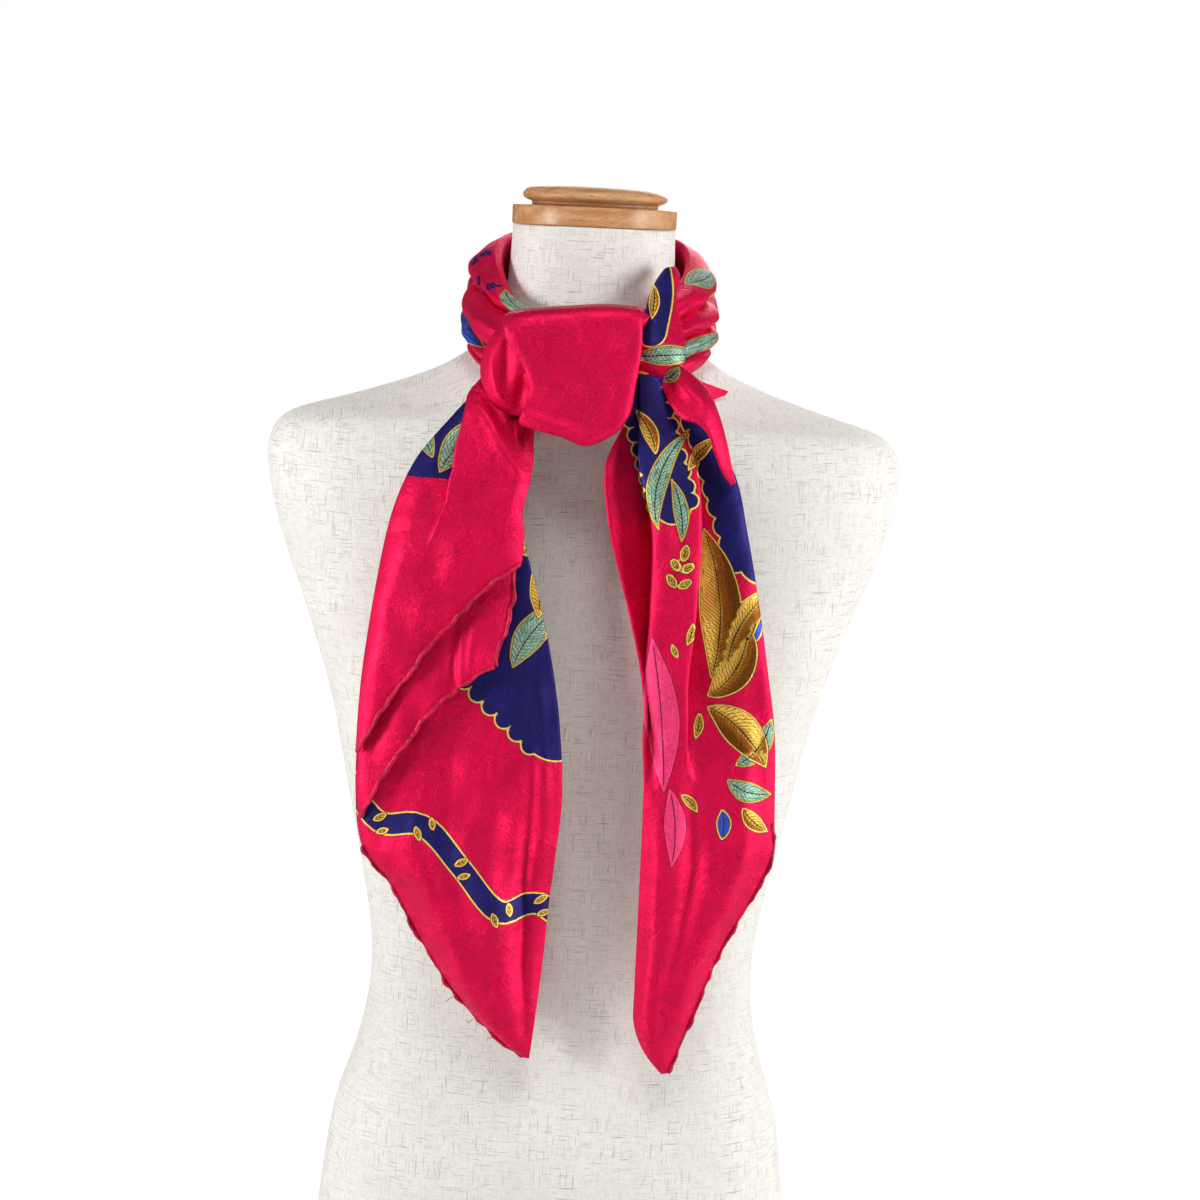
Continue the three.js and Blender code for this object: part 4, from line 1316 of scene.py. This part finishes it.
class SCARF_OT_dress_form(bpy.types.Operator):
    """Linen-covered torso with its turned wooden neck cap"""
    bl_idname = "scarf.dress_form"
    bl_label = "Dress form"

    # Profiles: distance from the axis and height in mm. The knob's foot reaches down into a
    # shallow recess of the ring.
    RING_HIGH = 12
    RING = [
        (0, 0), (47, 0), (49.5, 0), (50.3, 0.4), (50.5, 1.2), (50.5, 10.6), (50.2, 11.5),
        (49.3, RING_HIGH), (41, RING_HIGH), (40.5, 10.8), (0, 10.8),
    ]
    KNOB = [
        (0, -1.4), (38.4, -1.4), (38.5, 0), (38.9, 0.9), (38.7, 1.8), (40.2, 2.4), (42.6, 3.3), (44.1, 4.6),
        (44.5, 6.1), (44.0, 7.7), (42.3, 9.4), (39.4, 10.9), (35, 12.1), (31, 12.7), (24, 13), (0, 13),
    ]

    def turned(self, name, profile, z, finish, node):
        """A wooden piece spun from its profile."""
        bm = bmesh.new()
        rows = [bm.verts.new((r * MM, 0, (z + h) * MM)) for r, h in profile]
        edges = [bm.edges.new(pair) for pair in zip(rows[:-1], rows[1:])]
        bmesh.ops.spin(bm, geom=rows + edges, cent=(0, 0, 0), axis=(0, 0, 1), angle=2 * math.pi,
                       steps=96, use_merge=True)
        bmesh.ops.remove_doubles(bm, verts=bm.verts, dist=1e-6)
        bmesh.ops.translate(bm, verts=bm.verts, vec=(0, NECK_CENTRE_Y * MM, 0))
        bmesh.ops.recalc_face_normals(bm, faces=bm.faces)
        mesh = mesh_from(bm, name)
        mesh.set_sharp_from_angle(angle=math.radians(32))
        obj = piece(name, mesh, finish, [node])
        bevel = obj.modifiers.new("Edges", "BEVEL")
        bevel.width, bevel.segments = 0.0003, 2
        return obj

    def skin(self, u, v):
        """The torso with the seam down its front and the shallow hollow of its chest."""
        laid = torso(u - 0.25, 1 - v)
        x, y, z = laid.T
        seam_deep, seam_wide = 0.35, 1.1
        chest_deep, chest_wide, chest_x = 10, 27, 12
        seam = seam_deep * np.exp(-((x / seam_wide) ** 2))
        tall = smooth(190, 330, z) * smooth(572, 520, z)
        hollow = chest_deep * np.exp(-(((x - chest_x) / chest_wide) ** 2)) * tall
        laid[:, 1] += (seam + hollow) * (y < 0)
        return laid

    def execute(self, context):
        linen = material("Linen", linen_finish, context.scene.form_colours)
        wood = material("Beech", wood_finish, context.scene.form_colours)
        mesh = grid_mesh("Torso", 170, 210, self.skin, closed=True)
        piece("Torso", mesh, linen, ["form_torso"])
        gap = 0.3  # mm between pieces that touch
        ring_foot = NECK_TOP + gap
        knob_foot = ring_foot + self.RING_HIGH + gap
        self.turned("Neck_ring", self.RING, ring_foot, wood, "form_neck_ring")
        self.turned("Neck_knob", self.KNOB, knob_foot, wood, "form_neck_knob")
        return {"FINISHED"}


class SCARF_OT_collar(bpy.types.Operator):
    """The folded band of silk round the neck"""
    bl_idname = "scarf.collar"
    bl_label = "Band round the neck"

    def execute(self, context):
        names = ("Band_left", "Band_back", "Band_right")
        nodes = ("scarf_collar_left", "scarf_collar_back", "scarf_collar_right")
        for name, node, start, end in zip(names, nodes, COLLAR_CUTS[::2], COLLAR_CUTS[1::2]):
            def skin(u, v):
                return collar(u, lerp(start, end, v))
            mesh = grid_mesh(name, 280, 150, skin, True, collar_print, collar_flat(start, end))
            band = piece(name, mesh, silk(context), [node])
            declare_sheet(band, 0.15, layers=2)
        return {"FINISHED"}


class SCARF_OT_knot(bpy.types.Operator):
    """The knot: its wrap, the layers inside it, and the two small folds beside it"""
    bl_idname = "scarf.knot"
    bl_label = "Knot"

    def execute(self, context):
        sizes = context.scene.cloth_sizes
        radius = sizes.fold_radius / MM
        side = turned_back(panel(SIDE_FOLD, SIDE_CREASES, 0.3), radius, False, True)
        lobe = turned_back(panel(INNER_FOLD, [], 0.2), radius)
        closed = "Knot_core"
        made = {}
        for name, grid, surface, printed, nodes in (
            ("Knot_wrap", (150, 120), wrap, plain_print, ["scarf_knot_wrap"]),
            (closed, (90, 50), lambda u, v: core(u, 1 - v), plain_print, ["scarf_knot_core"]),
            ("Knot_side", (60, 70), side, side_print, []),
            ("Inner_fold", (50, 50), lobe, inner_print, ["scarf_inner_fold"]),
            ("Corner", (30, 24), panel(CORNER, [], 0.15), plain_print, ["scarf_corner"]),
        ):
            mesh = grid_mesh(name, *grid, surface, name == closed, printed)
            made[name] = piece(name, mesh, silk(context), nodes)
        for name, long_side, rests_on in (
            ("Knot_wrap", 0.09, ["Knot_core"]),
            ("Knot_side", 0.06, ["Knot_core"]),
            (closed, 0.16, ["Band_left", "Band_right"]),
            ("Inner_fold", 0.07, ["Band_right"]),
            ("Corner", 0.016, ["Torso"]),
        ):
            if name != closed:
                shell(made[name], sizes.thickness)
            declare_sheet(made[name], long_side, layers=1 + (name == closed))
        return {"FINISHED"}


class SCARF_OT_left_tail(bpy.types.Operator):
    """The left tail: three layers, each ending in a rolled hem"""
    bl_idname = "scarf.left_tail"
    bl_label = "Left tail"

    def execute(self, context):
        sizes = context.scene.cloth_sizes
        radius = sizes.fold_radius / MM
        middle = panel(LEFT_MIDDLE, LEFT_MIDDLE_FOLDS, 1.0, 5, 3)
        back = panel(LEFT_BACK, LEFT_BACK_FOLDS, 1.0, 5, 3)
        # The hem runs from the first to the last of two (u, v) places on the layer
        for name, surface, grid, printed, flat, node, long_side, sway, first, last in (
            ("Left_front", left_front, (110, 250), left_front_print, ridge_flat,
             "scarf_tail_left_front", 0.24, 0.4, (0, 1), (1, 1)),
            ("Left_middle", middle, (90, 150), plain_print, None,
             "scarf_tail_left_middle", 0.26, 0.4, (0, 1), (1, 1)),
            ("Left_back", back, (110, 260), left_back_print, None,
             "scarf_tail_left_back", 0.4, 0.55, (0, 0.545), (0, 1)),
        ):
            skin = turned_back(surface, radius, name != "Left_back", True)
            mesh = grid_mesh(name, *grid, skin, False, printed, flat)
            layer = piece(name, mesh, silk(context), [node])
            shell(layer, sizes.thickness)
            line = edge_line(surface, first, last, 160)
            sewn = [add_hem(context, name + "_hem", line, sway),
                    add_stitches(context, name + "_stitches", line)]
            if name == "Left_middle":
                side = edge_line(surface, (1, 0.4), (1, 1), 90)
                sewn.append(add_hem(context, name + "_side_hem", side, 0.7))
            if name == "Left_back":
                sewn.append(self.loose_threads(context, line))
            declare_sheet(layer, long_side)
        return {"FINISHED"}

    def loose_threads(self, context, line):
        """A few ends of thread that have come loose from the hem, as one mesh"""
        joined = bmesh.new()
        for k, (start, long, rise) in enumerate(LOOSE_THREADS):
            root = line[int(start * (len(line) - 1))]
            share = np.linspace(0, 1, 24)
            wave = 1.1 * np.sin(share * (5 + k)) + 0.7 * np.sin(share * 11 + k)
            thread = root + points(-long * share, -1.5 - 1.5 * share, rise * share + wave * share)
            mesh = grid_mesh("thread", 6, 36, hem_surface(thread, 0.16, 3, 0), closed=True)
            joined.from_mesh(mesh)
            bpy.data.meshes.remove(mesh)
        finish = material("Thread", thread_finish, context.scene.silk_colours)
        return piece("Loose_threads", mesh_from(joined, "Loose_threads"), finish)


class SCARF_OT_right_tail(bpy.types.Operator):
    """The right tail with its two lapped pleats, and the fold over its top"""
    bl_idname = "scarf.right_tail"
    bl_label = "Right tail"

    def execute(self, context):
        sizes = context.scene.cloth_sizes
        radius = sizes.fold_radius / MM
        finish = silk(context)
        skin = turned_back(pleats, radius, True, False)
        mesh = grid_mesh("Right_tail", 170, 260, skin, False, right_print)
        tail = piece("Right_tail", mesh, finish, ["scarf_tail_right_pleats"])
        line = edge_line(pleats, (1, 0.575), (1, 1), 180)
        hem = add_hem(context, "Right_tail_hem", line, 0.5)
        stitches = add_stitches(context, "Right_tail_stitches", line)
        skin = turned_back(panel(RIGHT_FLAP, RIGHT_FLAP_FOLDS, 0.3), radius * 0.7)
        mesh = grid_mesh("Right_flap", 50, 100, skin, False, flap_print)
        flap = piece("Right_flap", mesh, finish, ["scarf_tail_right_flap"])
        for obj in (tail, flap):
            shell(obj, sizes.thickness)
        declare_sheet(tail, 0.42)
        declare_sheet(flap, 0.08)
        return {"FINISHED"}


class SCARF_OT_stage(bpy.types.Operator):
    """Floor, soft lights and the camera"""
    bl_idname = "scarf.stage"
    bl_label = "Stage"

    TARGET = Vector((0.014, 0.0, 0.456))
    # Place in metres, size across and share of the key power
    LIGHTS = {
        "Left": ((-2.1, -1.0, 0.55), 0.8, 1.15),
        "Right": ((2.3, -0.7, 0.7), 1.4, 1.46),
        "Top": ((0.1, -1.2, 2.4), 1.0, 0.66),
        "Back": ((0.3, 2.6, 1.6), 1.6, 1.3),
    }

    def floor(self, context):
        bm = bmesh.new()
        bmesh.ops.create_circle(bm, cap_ends=True, segments=96, radius=4)
        mesh = mesh_from(bm, "Floor")
        mesh.materials.append(material("Studio floor", plaster_finish))
        obj = bpy.data.objects.new("Floor", mesh)
        context.scene.collection.objects.link(obj)

    def backdrop(self, context):
        """A world that looks white, and lights the object only faintly and warmly."""
        world = bpy.data.worlds.new("Studio")
        context.scene.world = world
        world.use_nodes = True
        nodes, links = world.node_tree.nodes, world.node_tree.links
        nodes.clear()
        seen = nodes.new("ShaderNodeLightPath")
        plain, bright = nodes.new("ShaderNodeBackground"), nodes.new("ShaderNodeBackground")
        for background, tone, strength in (
            (plain, (1.0, 0.84, 0.72, 1.0), 0.09),
            (bright, (1.0, 1.0, 1.0, 1.0), 1.0),
        ):
            background.inputs["Color"].default_value = tone
            background.inputs["Strength"].default_value = strength
        both, out = nodes.new("ShaderNodeMixShader"), nodes.new("ShaderNodeOutputWorld")
        links.new(seen.outputs["Is Camera Ray"], both.inputs[0])
        links.new(plain.outputs[0], both.inputs[1])
        links.new(bright.outputs[0], both.inputs[2])
        links.new(both.outputs[0], out.inputs["Surface"])

    def lights(self, context, key):
        for name, (place, size, share) in self.LIGHTS.items():
            lamp = bpy.data.lights.new(name, "AREA")
            lamp.shape, lamp.size, lamp.energy = "DISK", size, key * share
            obj = bpy.data.objects.new(name, lamp)
            obj.location = place
            obj.rotation_euler = (self.TARGET - Vector(place)).to_track_quat("-Z", "Y").to_euler()
            context.scene.collection.objects.link(obj)

    def camera(self, context, settings):
        camera = bpy.data.cameras.new("Camera")
        camera.sensor_width = 36
        camera.lens = camera.sensor_width * settings.distance / settings.span
        camera.clip_end = 50
        obj = bpy.data.objects.new("Camera", camera)
        away = Vector((0, -math.cos(settings.elevation), math.sin(settings.elevation)))
        obj.location = self.TARGET + away * settings.distance
        tilt = Euler((math.pi / 2 - settings.elevation, 0, 0)).to_matrix()
        obj.rotation_euler = (tilt @ Matrix.Rotation(settings.roll, 3, "Z")).to_euler()
        context.scene.collection.objects.link(obj)
        context.scene.camera = obj

    def execute(self, context):
        settings = context.scene.stage_settings
        self.floor(context)
        self.backdrop(context)
        self.lights(context, settings.key)
        self.camera(context, settings)
        context.scene.view_settings.view_transform = "Standard"
        return {"FINISHED"}


class SCARF_PT_panel(bpy.types.Panel):
    """Sizes, colours and the steps that build the object"""
    bl_idname = "SCARF_PT_panel"
    bl_label = "Silk square"
    bl_space_type = "VIEW_3D"
    bl_region_type = "UI"
    bl_category = "Silk square"

    def draw(self, context):
        for group in (ClothSizes, SilkColours, FormColours, StageSettings):
            box = self.layout.box()
            for key in group.__annotations__:
                box.prop(getattr(context.scene, GROUPS[group]), key)
        for operator in OPERATORS:
            self.layout.operator(operator.bl_idname)


GROUPS = {
    ClothSizes: "cloth_sizes",
    SilkColours: "silk_colours",
    FormColours: "form_colours",
    StageSettings: "stage_settings",
}
OPERATORS = (
    SCARF_OT_stage,
    SCARF_OT_dress_form,
    SCARF_OT_collar,
    SCARF_OT_knot,
    SCARF_OT_left_tail,
    SCARF_OT_right_tail,
)


def register():
    for cls in (*GROUPS, *OPERATORS, SCARF_PT_panel):
        bpy.utils.register_class(cls)
    for cls, name in GROUPS.items():
        setattr(bpy.types.Scene, name, PointerProperty(type=cls))


def unregister():
    for name in GROUPS.values():
        delattr(bpy.types.Scene, name)
    for cls in reversed((*GROUPS, *OPERATORS, SCARF_PT_panel)):
        bpy.utils.unregister_class(cls)


def main():
    register()
    for step in ("stage", "dress_form", "collar", "knot", "left_tail", "right_tail"):
        getattr(bpy.ops.scarf, step)()


if __name__ == "__main__":
    main()
